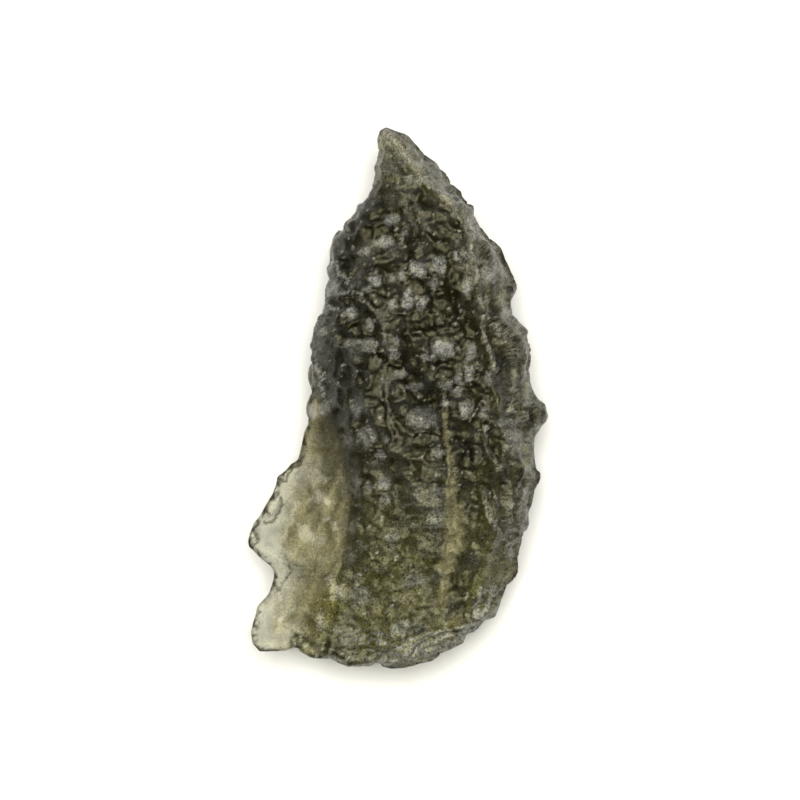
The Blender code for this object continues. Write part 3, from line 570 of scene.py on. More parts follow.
def slab(name, voxel):
    """The rim's outline as an evenly meshed slab, and each vertex's share of the way up."""
    thick = SLAB_LAYERS * voxel
    ring = plan(RIM_PX)
    count = len(ring)
    low = np.column_stack([ring, np.zeros(count)])
    high = np.column_stack([ring, np.full(count, thick)])
    walls = [(i, i + count, (i + 1) % count + count, (i + 1) % count) for i in range(count)]
    caps = [tuple(range(count)), tuple(reversed(range(count, 2 * count)))]
    obj = object_from(name, np.vstack([low, high]), walls + caps)
    remesh = obj.modifiers.new("Even mesh", "REMESH")
    remesh.mode = "VOXEL"
    remesh.voxel_size = voxel
    bake(obj)
    return obj, np.clip(positions(obj)[:, 2] / thick, 0, 1)


def carve(obj, share, voxel):
    """Cuts the cups and flutes into the body, never through more than a part of the wall."""
    rng = np.random.default_rng(SEED)
    points = positions(obj)
    outward = broad_normals(obj, voxel)
    xy = points[:, :2]
    base = Base(xy)
    upper = share > 0.5
    bent = xy + WANDER * np.column_stack([waves(xy, WANDER_LENGTH, rng), waves(xy, WANDER_LENGTH, rng)])
    pitted = face_dents(rng).carve(bent)
    pitted -= RIB_HEIGHT * ribs(bent, RIBS_PX) + LOW_RIB_HEIGHT * ribs(bent, LOW_RIBS_PX)
    pitted = facets(bent, SHADED_CUPS_PX, pitted)
    face = pitted * base.skin + scoop_dents().carve(bent) * (1 - base.skin)
    under = under_dents(rng).carve(bent) * (UNDER_FLAKE + (1 - UNDER_FLAKE) * base.skin)
    swell = waves(points, LUMP_SIZE, rng) * LUMP_HEIGHT * smooth(0, CALM_WIDTH, base.edge)
    resting = smooth(0, RESTING_FADE, points[:, 2])
    wall = base.top - base.bottom
    upright = smooth(SIDE_FROM, SIDE_FULL, np.abs(outward[:, 2])) * smooth(THINNEST_WALL, FULL_WALL, wall)
    side = SIDE_PIT_DEPTH * pits(points, SIDE_PITS, SIDE_PIT_SHARE, SEED)
    calm = RIM_CALM + (1 - RIM_CALM) * smooth(0, CALM_WIDTH, base.edge)
    depth = np.where(upper, face, under) * (1 - upright) * calm + side * upright
    depth = np.minimum(depth, WALL_SHARE * wall)
    depth -= swell * smooth(0, LUMP_WALL, wall)
    place(obj, points - outward * (depth * resting)[:, None])


def cut_flat_spot(obj):
    """Cuts the underside level at z = 0 and closes the cut with one flat face."""
    mesh = bmesh.new()
    mesh.from_mesh(obj.data)
    everything = mesh.verts[:] + mesh.edges[:] + mesh.faces[:]
    cut = bmesh.ops.bisect_plane(
        mesh, geom=everything, dist=1e-7, plane_co=(0, 0, 0), plane_no=(0, 0, 1), clear_inner=True
    )
    rim = [e for e in cut["geom_cut"] if isinstance(e, bmesh.types.BMEdge)]
    bmesh.ops.edgenet_fill(mesh, edges=rim)
    bmesh.ops.recalc_face_normals(mesh, faces=mesh.faces[:])
    mesh.to_mesh(obj.data)
    mesh.free()


def centre(obj):
    """Brings the stone to its full length, with the middle of its box over the origin."""
    points = positions(obj)
    low = points.min(axis=0)
    high = points.max(axis=0)
    middle = [(low[0] + high[0]) / 2, (low[1] + high[1]) / 2, low[2]]
    place(obj, (points - middle) * LENGTH / (high[1] - low[1]))


# The marks painted on the skin, read from the photograph: x, y, half width and half height in pixels, and
# strength. First come the pale cups with a painted highlight on their floors, and the dark cups in painted
# shade.
HIGHLIGHTED_CUPS_PX = [
    (391, 222, 8, 7, 0.7), (384, 245, 10, 6, 0.7), (365, 254, 6, 4, 0.5), (404, 235, 4, 4, 0.6),
    (418, 272, 8, 8, 0.8), (439, 269, 8, 9, 0.8), (402, 276, 4, 8, 0.6), (393, 281, 5, 4, 0.5),
    (376, 282, 6, 6, 0.8), (367, 290, 5, 4, 0.6), (334, 288, 7, 6, 0.7), (408, 302, 6, 10, 0.9),
    (394, 306, 4, 4, 0.7), (421, 304, 6, 7, 0.7), (435, 285, 5, 6, 0.4), (455, 259, 3, 5, 0.9),
    (463, 258, 4, 5, 0.6), (467, 288, 5, 8, 0.7), (488, 276, 8, 9, 0.8), (409, 180, 5, 5, 0.7),
    (422, 183, 6, 5, 0.8), (335, 311, 8, 3, 0.6), (351, 315, 7, 6, 0.7), (324, 332, 5, 5, 0.8),
    (370, 326, 4, 7, 0.6), (369, 347, 10, 7, 0.45), (351, 345, 8, 4, 0.4), (396, 340, 4, 4, 0.5),
    (394, 355, 6, 5, 0.6), (442, 350, 12, 9, 0.85), (428, 358, 6, 4, 0.8), (469, 353, 5, 8, 0.7),
    (468, 374, 5, 9, 0.8), (456, 379, 4, 4, 0.6), (486, 380, 5, 7, 0.6), (444, 387, 8, 4, 0.7),
    (458, 390, 4, 5, 0.6), (402, 374, 6, 4, 0.5), (412, 387, 10, 4, 0.4), (445, 403, 4, 4, 0.6),
    (464, 410, 7, 7, 0.85), (481, 412, 4, 7, 0.5), (423, 419, 15, 12, 0.5), (506, 422, 10, 5, 0.5),
    (511, 434, 8, 6, 0.75), (357, 410, 6, 10, 0.5), (367, 436, 8, 11, 0.55), (380, 454, 5, 5, 0.6),
    (348, 439, 6, 5, 0.4), (387, 439, 4, 5, 0.5), (439, 452, 7, 5, 0.55), (461, 453, 2, 2, 1.0),
    (385, 482, 7, 7, 0.6), (356, 485, 4, 12, 0.55), (386, 498, 6, 5, 0.6), (369, 487, 3, 6, 0.4),
    (439, 492, 10, 6, 0.4), (436, 517, 8, 12, 0.35), (391, 538, 8, 5, 0.4), (353, 525, 5, 6, 0.35),
    (327, 519, 4, 3, 0.7), (320, 540, 6, 6, 0.4), (330, 580, 6, 7, 0.5), (340, 595, 5, 5, 0.5),
    (324, 409, 4, 5, 0.7),
]
SHADED_CUPS_PX = [
    (440, 371, 10, 8, 1.0), (424, 438, 15, 4, 1.0), (467, 452, 15, 9, 1.0), (339, 418, 9, 6, 0.9),
    (415, 299, 9, 4, 0.8), (440, 326, 26, 5, 0.7), (500, 362, 7, 10, 0.8), (471, 510, 6, 8, 0.8),
    (352, 510, 9, 5, 0.7), (371, 206, 13, 8, 0.7), (397, 262, 12, 4, 0.6), (452, 334, 14, 4, 0.6),
    (381, 412, 6, 6, 0.7), (332, 364, 5, 5, 0.7), (412, 391, 5, 2, 0.8), (431, 394, 6, 2, 0.7),
]
YELLOW_PX = [
    (502, 299, 7, 8, 0.8), (352, 274, 2, 2, 0.8), (397, 184, 4, 3, 0.6), (525, 450, 4, 4, 0.9),
    (526, 462, 5, 5, 0.9), (490, 556, 8, 5, 1.0), (485, 570, 6, 6, 0.9),
]
# Where the flake is so thin that it is almost white.
THIN_PX = [
    (270, 540, 14, 30, 0.95), (280, 515, 9, 14, 0.8), (262, 622, 12, 24, 0.8), (275, 600, 12, 14, 0.5),
    (312, 412, 5, 9, 0.9), (285, 640, 14, 9, 0.5),
]
# Painted highlights: glossy spots on the flake.
FLAKE_HIGHLIGHTS_PX = [
    (321, 497, 7, 5, 0.8), (306, 533, 7, 9, 0.8), (322, 479, 6, 4, 0.7), (320, 622, 5, 9, 0.7),
    (292, 612, 8, 4, 0.5), (335, 525, 4, 4, 0.7), (327, 519, 4, 3, 0.7), (337, 589, 6, 5, 0.7),
    (357, 586, 5, 6, 0.6), (344, 620, 6, 5, 0.6), (363, 546, 5, 5, 0.4), (333, 598, 4, 4, 0.6),
]
# The browner skin of the fold between the flake and the body, and of the flake's upper part.
FOLDED_PX = [
    (322, 440, 13, 32, 0.65), (337, 475, 10, 22, 0.5), (345, 515, 8, 20, 0.45), (318, 470, 12, 12, 0.3),
]
# The lines of the skin: half width in pixels, strength, and points. First come the folds.
FOLDS_PX = [
    (5, 0.8, (398, 137), (410, 149), (424, 163), (440, 183)),
    (3, 0.7, (319, 414), (329, 428), (335, 450), (341, 472), (345, 500), (350, 528)),
    (3, 0.35, (338, 470), (322, 505), (305, 545), (300, 575)),
    (4, 0.3, (343, 500), (330, 535), (312, 575), (296, 610)),
    (3, 0.35, (348, 530), (338, 560), (322, 590), (306, 618)),
    (2, 0.4, (305, 468), (300, 492), (290, 512)),
    (2, 0.35, (332, 575), (322, 605), (312, 632)),
]
# Painted highlights: glossy streaks on the flake.
FLAKE_HIGHLIGHT_LINES_PX = [
    (2, 0.7, (317, 470), (322, 478), (325, 484)),
    (3, 0.6, (310, 500), (318, 496), (326, 500)),
    (2.5, 0.6, (296, 505), (288, 525), (284, 540)),
    (2, 0.6, (299, 607), (289, 613), (281, 621)),
    (2.5, 0.5, (303, 560), (296, 585), (284, 600)),
    (3, 0.6, (300, 526), (307, 535), (312, 541)),
]
# Smooth olive places low on the face, dark bands beside the streak, and the grey layers of the foot.
OLIVE_PX = [
    (367, 636, 13, 18, 0.85), (377, 577, 11, 9, 0.7), (404, 604, 17, 7, 0.65), (392, 640, 13, 8, 0.75),
    (350, 560, 8, 12, 0.5), (425, 560, 8, 10, 0.5), (424, 596, 6, 10, 0.5),
]
DUSK_PX = [(457, 594, 10, 24, 0.85), (466, 560, 9, 14, 0.6), (453, 628, 5, 5, 0.9), (346, 532, 6, 14, 0.4)]
DUSK_LINES_PX = [(4, 0.6, (436, 540), (434, 575), (428, 610)), (2, 0.8, (384, 651), (410, 634), (440, 624))]
GREY_PX = [(414, 580, 12, 7, 0.5), (402, 625, 12, 7, 0.5), (419, 627, 6, 5, 0.5), (362, 592, 8, 9, 0.6)]
LAYERS_PX = [
    (6, 0.9, (378, 665), (396, 658), (424, 646), (448, 640), (470, 636), (486, 622), (500, 606)),
    (3.5, 0.9, (375, 661), (388, 653), (410, 640), (436, 632), (462, 633), (481, 617)),
]
# The dark outlines of chips and cracks, which are painted shade, and the dark knobs of the foot.
CHIPS_PX = [
    (1.8, 0.9, (303, 458), (300, 463), (292, 473), (281, 480), (276, 478)),
    (1.6, 0.8, (257, 533), (250, 540), (249, 546)),
    (1.4, 0.85, (279, 494), (284, 503), (276, 518), (264, 524)),
    (1.2, 0.7, (279, 494), (268, 502), (262, 518)),
    (1.4, 0.85, (252, 528), (258, 538), (251, 548)),
    (1.3, 0.8, (282, 548), (288, 558), (296, 566), (300, 576)),
    (1.3, 0.8, (286, 556), (292, 572)),
    (1.2, 0.8, (274, 594), (280, 584), (290, 574)),
    (1.2, 0.7, (254, 612), (258, 625), (255, 640)),
    (1.3, 0.7, (310, 636), (322, 630), (334, 634)),
    (1.2, 0.6, (345, 552), (332, 568), (322, 580)),
    (1.6, 0.8, (292, 632), (304, 636), (312, 646), (326, 650), (342, 646)),
]
KNOBS_PX = [(300, 640, 12, 8, 1.0), (322, 648, 15, 9, 1.0), (344, 654, 12, 7, 0.9), (366, 658, 10, 5, 0.6)]
# Painted highlights: pale bands along the ridges of the tip and the crest.
RIDGE_HIGHLIGHTS_PX = [
    (4.5, 1.0, (384, 131), (391, 141), (399, 151), (417, 169)),
    (4, 0.8, (417, 169), (430, 184), (440, 195), (456, 214), (467, 226)),
    (3, 0.6, (465, 228), (470, 245), (468, 262), (472, 285)),
    (2, 0.5, (404, 203), (411, 220), (417, 234)),
    (2, 0.4, (412, 200), (420, 216), (426, 232)),
    (2.5, 1.0, (379, 137), (376, 152), (376, 167), (373, 182), (366, 197)),
    (3, 0.5, (471, 215), (482, 236), (496, 262), (510, 280)),
    (3, 0.45, (497, 300), (509, 322), (524, 342), (530, 358)),
    (1.8, 0.9, (468, 208), (471, 230), (477, 260), (484, 292), (486, 320)),
    (1.5, 0.8, (484, 222), (492, 240), (499, 262), (504, 284)),
    (1.5, 0.8, (505, 312), (515, 321), (525, 333)),
    (1.5, 0.9, (494, 322), (506, 340), (520, 358)),
    (1.5, 0.8, (505, 350), (513, 372), (512, 396), (506, 412)),
    (1.5, 0.7, (520, 360), (524, 380), (527, 400), (534, 410)),
    (1.5, 0.7, (497, 420), (506, 440), (512, 462)),
    (1.5, 0.7, (518, 432), (524, 452), (526, 480), (522, 505)),
    (1.5, 0.6, (508, 480), (510, 505), (506, 530)),
]
# The painted dark outline of a small bubble near the foot, painted shade in an open one in the middle of
# the face, and its glints.
RING_PX = [(419, 611), (418, 614), (415, 615), (412, 614), (411, 611), (412, 608), (415, 607), (418, 608)]
RINGS_PX = [(1.2, 0.8, *RING_PX, RING_PX[0])]
BUBBLES_PX = [(378, 412, 7, 6, 1.0)]
GLINTS_PX = [(380, 418, 2, 2, 1.0), (379, 409, 2, 1.5, 0.7)]
# Places with fine lines across the stone, and the size of those lines.
STRIAE_PX = [
    (424, 505, 26, 34, 0.8), (436, 470, 14, 8, 0.6), (350, 346, 20, 7, 0.6), (420, 572, 18, 9, 0.4),
]
STRIA_SIZE = np.array([1.5, 0.14]) * MM
# Painted shade: the dark gaps between the ribs of the tip and the flank.
SHADED_GAPS_PX = [
    (3, 0.8, (389, 150), (393, 162), (402, 174), (410, 190)),
    (3.5, 0.5, (380, 190), (392, 200), (400, 214)),
    (5, 0.8, (422, 200), (430, 206)),
    (5, 0.8, (452, 221), (460, 228)),
    (2.5, 0.7, (477, 215), (484, 240), (492, 268), (494, 296), (497, 312)),
    (2.5, 0.7, (500, 332), (510, 352), (520, 372), (521, 396)),
    (2.5, 0.7, (497, 345), (504, 368), (504, 395)),
    (2.5, 0.7, (512, 418), (516, 440), (519, 465), (516, 495)),
    (2.5, 0.7, (500, 455), (504, 478), (501, 505)),
    (2.5, 0.6, (505, 250), (510, 275), (512, 298)),
]
# Painted highlights: pale lines at the left edge, across the face, at the foot and on the flake.
EDGE_HIGHLIGHTS_PX = [
    (1.6, 0.9, (313, 352), (317, 370), (322, 388), (328, 409)),
    (1.2, 0.8, (331, 262), (336, 268), (342, 276), (350, 284)),
    (1.2, 0.6, (329, 296), (338, 296), (350, 293), (362, 298)),
    (1.4, 0.3, (357, 299), (370, 305), (379, 315), (383, 328), (384, 345)),
    (1, 0.2, (383, 365), (386, 385), (388, 405), (390, 425)),
    (1.5, 0.9, (482, 586), (478, 603), (473, 616)),
    (1.5, 0.9, (495, 588), (483, 614)),
    (1.5, 0.9, (476, 623), (460, 634)),
    (1.5, 0.6, (282, 548), (300, 575)),
]
# The bright streak down the lower face.
STREAKS_PX = [
    (2, 0.8, (443, 415), (447, 440), (449, 470)),
    (5, 0.8, (449, 480), (450, 500), (453, 520)),
    (8, 0.9, (453, 510), (454, 530), (450, 550)),
    (5, 0.8, (449, 550), (445, 575), (441, 600)),
]

# How soft the edges of marks and lines are, in half sizes, and how far they wander.
PATCH_EDGE = (1.25, 0.55)
STROKE_EDGE = (1.5, 0.5)
MARK_WANDER = 0.22 * MM
# A shift in space that gives another noise of the same kind.
SHIFT = 0.01

# Linear colours of the frosted skin, among them painted highlights, painted shade and the painted sheen of
# the flank.
DARK_SKIN = (0.032, 0.029, 0.011)
WINDOW_SKIN = (0.25, 0.24, 0.10)
FLANK_TONE_AND_SHEEN_SKIN = (0.36, 0.33, 0.18)
RIB_HIGHLIGHT_SKIN = (0.84, 0.80, 0.62)
FLAKE_SKIN = (0.40, 0.37, 0.22)
EDGE_SKIN = (0.98, 0.97, 0.92)
TIP_SKIN = (0.33, 0.32, 0.25)
PALE_SKIN = (0.86, 0.85, 0.77)
HIGHLIGHT_AND_STRIA_SKIN = (0.93, 0.90, 0.74)
GLINT_SKIN = (1, 0.92, 0.80)
FOLD_SKIN = (0.13, 0.115, 0.06)
OLIVE_SKIN = (0.13, 0.12, 0.02)
DUSK_SKIN = (0.035, 0.032, 0.008)
FOOT_SKIN = (0.64, 0.65, 0.62)
DEEP_SHADE_SKIN = (0.015, 0.015, 0.010)
YELLOW_SKIN = (0.66, 0.61, 0.32)
UNDER_SKIN = (0.13, 0.12, 0.06)

# The lower edge of the smooth flake, where the textured glass of the foot begins.
LOWER_EDGE_PX = [(352, 515), (344, 548), (322, 590), (300, 626), (284, 645)]
# Where a region begins and is full: pixel rows and columns, distances from the crest, the rim or that
# lower edge, and how far the surface faces up.
WINDOW_ROWS = (400, 630)
LOWER_ROWS = (525, 550)
THIN_ROWS = (450, 480)
FOOT_ROWS = (610, 640)
TIP_ROWS = (200, 150)
LEFT_COLUMNS = (380, 350)
FLANK_EDGE = (-0.5 * MM, 1.1 * MM)
THIN_EDGE = (1.9 * MM, 0.5 * MM)
FOOT_EDGE = (3.5 * MM, 1.5 * MM)
LOWER_EDGE = (-0.2 * MM, 0.5 * MM)
UPWARD = (-0.1, 0.3)
# How pale the thin edge of the flake is, and how much darker the left side of the face is.
THIN_SHARE = 0.6
LEFT_SHADE = 0.5
# Half width in pixels and strength of the painted highlight on each rib, and of the painted shade beside
# it.
RIB_LINE = (1.4, 0.75)
RIB_SHADE = (4.5, 0.8)
# The layers of the foot: their thickness, and how much they bend.
LAYER_STEP = 0.38 * MM
LAYER_BEND = 3
# The flow lines of the flake: the directions along and across them, their width, length and contrast.
ALONG_FLOW = np.array([-0.36, -0.93])
ACROSS_FLOW = np.array([0.93, -0.36])
FLOW_WIDTH = 0.45 * MM
FLOW_LENGTH = 2.2 * MM
FLOW_CONTRAST = 0.7
# The facets that lean away from the light in the darkest cups: depth in the middle, and slope.
FACET_DEPTH = 0.25 * MM
FACET_SLOPE = 0.5
# Fine fibres along the flank.
FIBRE_WIDTH = 0.32 * MM
FIBRE_HEIGHT = 0.09 * MM
FIBRE_LENGTH = 2.5 * MM
# The finest relief: pits and a rough grit, and how it fades in thin walls, on the flake and near the floor.
FINE_PIT_DEPTH = 0.05 * MM
GRIT_HEIGHT = 0.09 * MM
FINE_WALL = (0.2 * MM, 1.5 * MM)
FINE_FLAKE = 0.25
FINE_REST = 0.3 * MM
# The uneven tone of the whole skin, and what the flake keeps and the olive places lose of it.
MOTTLE = 0.7
MOTTLE_FLAKE = 0.3
OLIVE_CALM = 0.8
# Pale spots scattered over the face as painted highlights of small cups, and over the underside, and the
# paler edge of the underside.
SPOT_SIZE = 0.9 * MM
FACE_HIGHLIGHT_SPOTS = 0.15
UNDER_SPOTS = 0.4
UNDER_EDGE = 0.5
# The dark knobs of the foot and their pale chips: between which heights of a noise they fade in.
KNOB_DARK = (0.35, 0.0)
KNOB_PALE = (0.3, 0.55)
# Tiny glints: between which heights of a noise they fade in, strength, and share on the flake.
SPARK_EDGE = (0.48, 0.62)
SPARK_STRENGTH = 0.8
SPARK_FLAKE = 0.4
# Painted shade in a dark line along the rim: strength, width, softness, how ragged it is, and where it
# fades out.
RIM_SHADE = 0.9
RIM_LINE = 0.14 * MM
RIM_SOFTNESS = 0.6
RAGGEDNESS = 3
RIM_GAPS = (-0.35, 0.15)
# How much less grainy the smooth glass and the thin edge are.
SMOOTH_CALM = 0.5
THIN_CALM = 0.35

# The colours of the softbox and of the glass's sheen.
WARM_WHITE = (1, 0.995, 0.96)
SHEEN_TINT = (0.50, 0.47, 0.30, 1)
# The share of the skin that stays clear, while the rest is frost, and how high the frost's grain stands.
CLEAR_SHARE = 0.88
GRAIN_HEIGHT = 0.04 * MM
# The side of the photograph in pixels, and the width of the view.
PHOTO_PX = 800


def roughness(points, size, octaves):
    """Uneven rise and fall of about one size, from about -1 to 1."""
    fall, step = 0.8, 2.1
    return np.array([noise.fractal(Vector(p), fall, step, octaves) for p in points / size])


def grain_lines(across, along, octaves):
    """Uneven lines, from about -1 to 1, over distances in widths and lengths of a line."""
    return roughness(np.column_stack([across, along, np.zeros(len(along))]), 1, octaves)


def patches(xy, marks):
    """How strongly soft oval marks cover each position, from 0 to 1."""
    found = np.zeros(len(xy))
    for x, y, wide, high, strength in marks:
        (spot,) = plan([(x, y)])
        gap = np.hypot(*((xy - spot) / (np.array([wide, high]) * PIXEL)).T)
        found = np.maximum(found, strength * smooth(*PATCH_EDGE, gap))
    return found


def strokes(xy, lines):
    """How strongly soft lines cover each position, from 0 to 1."""
    found = np.zeros(len(xy))
    for half, strength, *points in lines:
        gap, _ = beside(xy, points)
        found = np.maximum(found, strength * smooth(*STROKE_EDGE, gap / (half * PIXEL)))
    return found


def marked(xy, marks, lines):
    """How strongly oval marks and lines together cover each position, from 0 to 1."""
    return np.maximum(patches(xy, marks), strokes(xy, lines))


def facets(xy, marks, depth):
    """Turns the relief at each mark into a smooth facet that leans away from the light above."""
    for mark in marks:
        (spot,) = plan([mark[:2]])
        facet = FACET_DEPTH + FACET_SLOPE * (xy[:, 1] - spot[1])
        depth = depth + (facet - depth) * patches(xy, [mark])
    return depth


def fibres(xy, crest):
    """Uneven lines beside the crest, from about -1 to 1."""
    return grain_lines(crest / FIBRE_WIDTH, xy[:, 1] / FIBRE_LENGTH, octaves=2)


def uneven(rise, middle, swing, least=0, most=1):
    """The share that an uneven colour covers, where a noise or a wave rises this far."""
    return np.clip(middle + swing * rise, least, most)


def blend(colours, layers):
    """Mixes rows of colours toward the colour of each layer in turn, by its share for each row."""
    for target, share in layers:
        colours = colours + (np.array(target) - colours) * share[:, None]
    return colours


def skin_colours(points, facing, base):
    """The colour of the frosted skin at each vertex, from its regions and marks, with painted highlights
    and shade among them, and how grainy it is.
    """
    wander = [roughness(points + shift, size=0.5 * MM, octaves=3) for shift in (0, SHIFT)]
    wander = np.column_stack(wander)
    plain = points[:, :2]
    xy = plain + MARK_WANDER * wander
    x = CENTRE_PX[0] + xy[:, 0] / PIXEL
    y = CENTRE_PX[1] - xy[:, 1] / PIXEL
    crest, side = beside(xy, CREST)
    lower, right = beside(xy, LOWER_EDGE_PX)
    flank = smooth(*FLANK_EDGE, crest * side)
    above = smooth(*UPWARD, facing)
    skin = np.maximum(base.skin, smooth(*LOWER_ROWS, y) * smooth(*LOWER_EDGE, lower * right))
    flake = 1 - skin
    olive = patches(xy, OLIVE_PX)
    streaks = strokes(xy, STREAKS_PX)
    thin = THIN_SHARE * smooth(*THIN_EDGE, base.edge) * smooth(*THIN_ROWS, y)
    thin = np.maximum(patches(xy, THIN_PX), thin)

    # The flank's own brownish tone with painted sheen, broken by fibres; painted shade beside ribs, painted
    # highlights on them and on the flake.
    layers = [
        (WINDOW_SKIN, smooth(*WINDOW_ROWS, y)),
        (FLANK_TONE_AND_SHEEN_SKIN, flank * uneven(fibres(xy, crest), middle=0.45, swing=1.2)),
        (DARK_SKIN, flank * strokes(xy, [(*RIB_SHADE, *rib) for rib in RIBS_PX])),
        (RIB_HIGHLIGHT_SKIN, strokes(xy, [(*RIB_LINE, *rib) for rib in RIBS_PX])),
        (FLAKE_SKIN, flake),
        (FOLD_SKIN, marked(xy, FOLDED_PX, FOLDS_PX)),
        (HIGHLIGHT_AND_STRIA_SKIN, marked(xy, FLAKE_HIGHLIGHTS_PX, FLAKE_HIGHLIGHT_LINES_PX)),
    ]
    colours = blend(np.tile(DARK_SKIN, (len(points), 1)), layers)
    flow = grain_lines(xy @ ACROSS_FLOW / FLOW_WIDTH, xy @ ALONG_FLOW / FLOW_LENGTH, octaves=3)
    colours *= np.exp(FLOW_CONTRAST * flow * flake)[:, None]

    wave = np.sin(2 * np.pi * base.edge / LAYER_STEP + LAYER_BEND * wander[:, 1])
    foot = smooth(*FOOT_ROWS, y) * base.skin * smooth(*FOOT_EDGE, base.edge)
    # Among these layers: painted shade in the gaps between the ribs, and painted highlights along the
    # ridges.
    layers = [
        (EDGE_SKIN, thin * flake),
        (OLIVE_SKIN, olive * uneven(wander[:, 0], middle=1, swing=0.6)),
        (FOOT_SKIN, patches(xy, GREY_PX)),
        (FOOT_SKIN, foot * uneven(wave, middle=0.2, swing=0.5)),
        (FOOT_SKIN, strokes(xy, LAYERS_PX) * uneven(wave, middle=0.7, swing=0.6, least=0.15)),
        (DUSK_SKIN, marked(xy, DUSK_PX, DUSK_LINES_PX)),
        (TIP_SKIN, smooth(*TIP_ROWS, y) * (1 - strokes(xy, FOLDS_PX))),
        (DARK_SKIN, strokes(xy, SHADED_GAPS_PX)),
        (RIB_HIGHLIGHT_SKIN, strokes(xy, RIDGE_HIGHLIGHTS_PX) * uneven(wander[:, 1], middle=0.8, swing=0.5)),
    ]
    colours = blend(colours, layers)
    mottle = MOTTLE * roughness(points, size=0.6 * MM, octaves=3)
    calm = (MOTTLE_FLAKE + (1 - MOTTLE_FLAKE) * skin) * (1 - OLIVE_CALM * olive)
    left = smooth(*LEFT_COLUMNS, x) * base.skin * (1 - flank)
    colours *= (np.exp(mottle * calm) * (1 - LEFT_SHADE * left))[:, None]

    knobs = patches(xy, KNOBS_PX)
    chips = roughness(points, size=0.3 * MM, octaves=2)
    sparks = smooth(*SPARK_EDGE, roughness(points + 3 * SHIFT, size=0.2 * MM, octaves=1))
    striae = grain_lines(*(xy / STRIA_SIZE).T, octaves=2)
    # Painted highlights in pale cups, spots and along edges; painted shade in dark cups, chip outlines and
    # bubbles.
    layers = [
        (PALE_SKIN, FACE_HIGHLIGHT_SPOTS * (1 + left) * pits(points, SPOT_SIZE, share=0.6, seed=3)),
        (PALE_SKIN, patches(xy, HIGHLIGHTED_CUPS_PX)),
        (DEEP_SHADE_SKIN, marked(xy, SHADED_CUPS_PX, CHIPS_PX)),
        (DARK_SKIN, knobs * smooth(*KNOB_DARK, chips)),
        (RIB_HIGHLIGHT_SKIN, knobs * smooth(*KNOB_PALE, chips)),
        (GLINT_SKIN, SPARK_STRENGTH * sparks * (SPARK_FLAKE + (1 - SPARK_FLAKE) * skin)),
        (YELLOW_SKIN, patches(xy, YELLOW_PX)),
        (YELLOW_SKIN, streaks),
        (HIGHLIGHT_AND_STRIA_SKIN, patches(xy, STRIAE_PX) * uneven(striae, middle=0, swing=1.2, most=0.4)),
        (DEEP_SHADE_SKIN, marked(plain, BUBBLES_PX, RINGS_PX)),
        (GLINT_SKIN, patches(plain, GLINTS_PX)),
        (PALE_SKIN, strokes(xy, EDGE_HIGHLIGHTS_PX)),
    ]
    colours = blend(colours, layers)
    layers = [
        (PALE_SKIN, UNDER_SPOTS * pits(points, SPOT_SIZE, share=0.5, seed=4)),
        (EDGE_SKIN, UNDER_EDGE * (1 - base.skin)),
    ]
    under = blend(np.array(UNDER_SKIN) * np.exp(mottle)[:, None], layers)
    colours = under + (colours - under) * above[:, None]

    # Painted shade along the rim.
    ragged = roughness(points + 2 * SHIFT, size=0.45 * MM, octaves=3)
    rim = smooth(0, -1, (base.edge - RIM_LINE * (1 + RAGGEDNESS * ragged)) / (RIM_SOFTNESS * RIM_LINE))
    colours *= (1 - RIM_SHADE * rim * smooth(*RIM_GAPS, ragged))[:, None]
    calm = (SMOOTH_CALM * np.maximum(flake, streaks) + THIN_CALM * thin * flake) * above
    return np.column_stack([colours, 1 - calm])


class Nodes:
    """The nodes of a material or a world."""

    def __init__(self, owner):
        owner.use_nodes = True
        self.tree = owner.node_tree

    def set(self, name, values=None):
        """The node of this name, with these values in its inputs."""
        node = self.tree.nodes[name]
        for slot, value in (values or {}).items():
            node.inputs[slot].default_value = value
        return node

    def add(self, kind, values=None):
        """A new node of this kind, with these values in its inputs."""
        return self.set(self.tree.nodes.new("ShaderNode" + kind).name, values)

    def link(self, *links):
        """Leads an output of one node to an input of another, for each link."""
        for start, output, end, slot in links:
            self.tree.links.new(start.outputs[output], end.inputs[slot])


def glass():
    """Olive glass, clear inside and etched to a fine frost outside."""
    material = bpy.data.materials.new("olive glass")
    nodes = Nodes(material)
    look = {"Transmission Weight": CLEAR_SHARE, "Specular Tint": SHEEN_TINT, "Specular IOR Level": 0.3}
    shader = nodes.set("Principled BSDF", {**look, "IOR": 1.49})
    where = nodes.add("TexCoord")
    grain = nodes.add("TexNoise", {"Scale": 9000, "Detail": 3, "Roughness": 0.7})
    frost = nodes.add("MapRange", {"To Min": 0.28, "To Max": 0.32})
    speckle = nodes.add("MapRange", {"From Min": 0.35, "From Max": 0.65, "To Min": 0.05, "To Max": 2.1})
    skin = nodes.add("Attribute")
    skin.attribute_name = "skin"
    grains = nodes.add("Mix", {"A": 1})
    tint = nodes.add("VectorMath")
    tint.operation = "SCALE"
    bump = nodes.add("Bump", {"Strength": 1, "Distance": GRAIN_HEIGHT})
    volume = nodes.add("VolumeAbsorption", {"Color": GLASS_COLOUR, "Density": GLASS_DENSITY})
    nodes.link(
        (where, "Object", grain, "Vector"),
        (grain, "Fac", frost, "Value"),
        (frost, "Result", shader, "Roughness"),
        (grain, "Fac", speckle, "Value"),
        (skin, "Alpha", grains, "Factor"),
        (speckle, "Result", grains, "B"),
        (skin, "Color", tint, 0),
        (grains, "Result", tint, "Scale"),
        (tint, "Vector", shader, "Base Color"),
        (grain, "Fac", bump, "Height"),
        (bump, "Normal", shader, "Normal"),
        (volume, "Volume", nodes.set("Material Output"), "Volume"),
    )
    return material


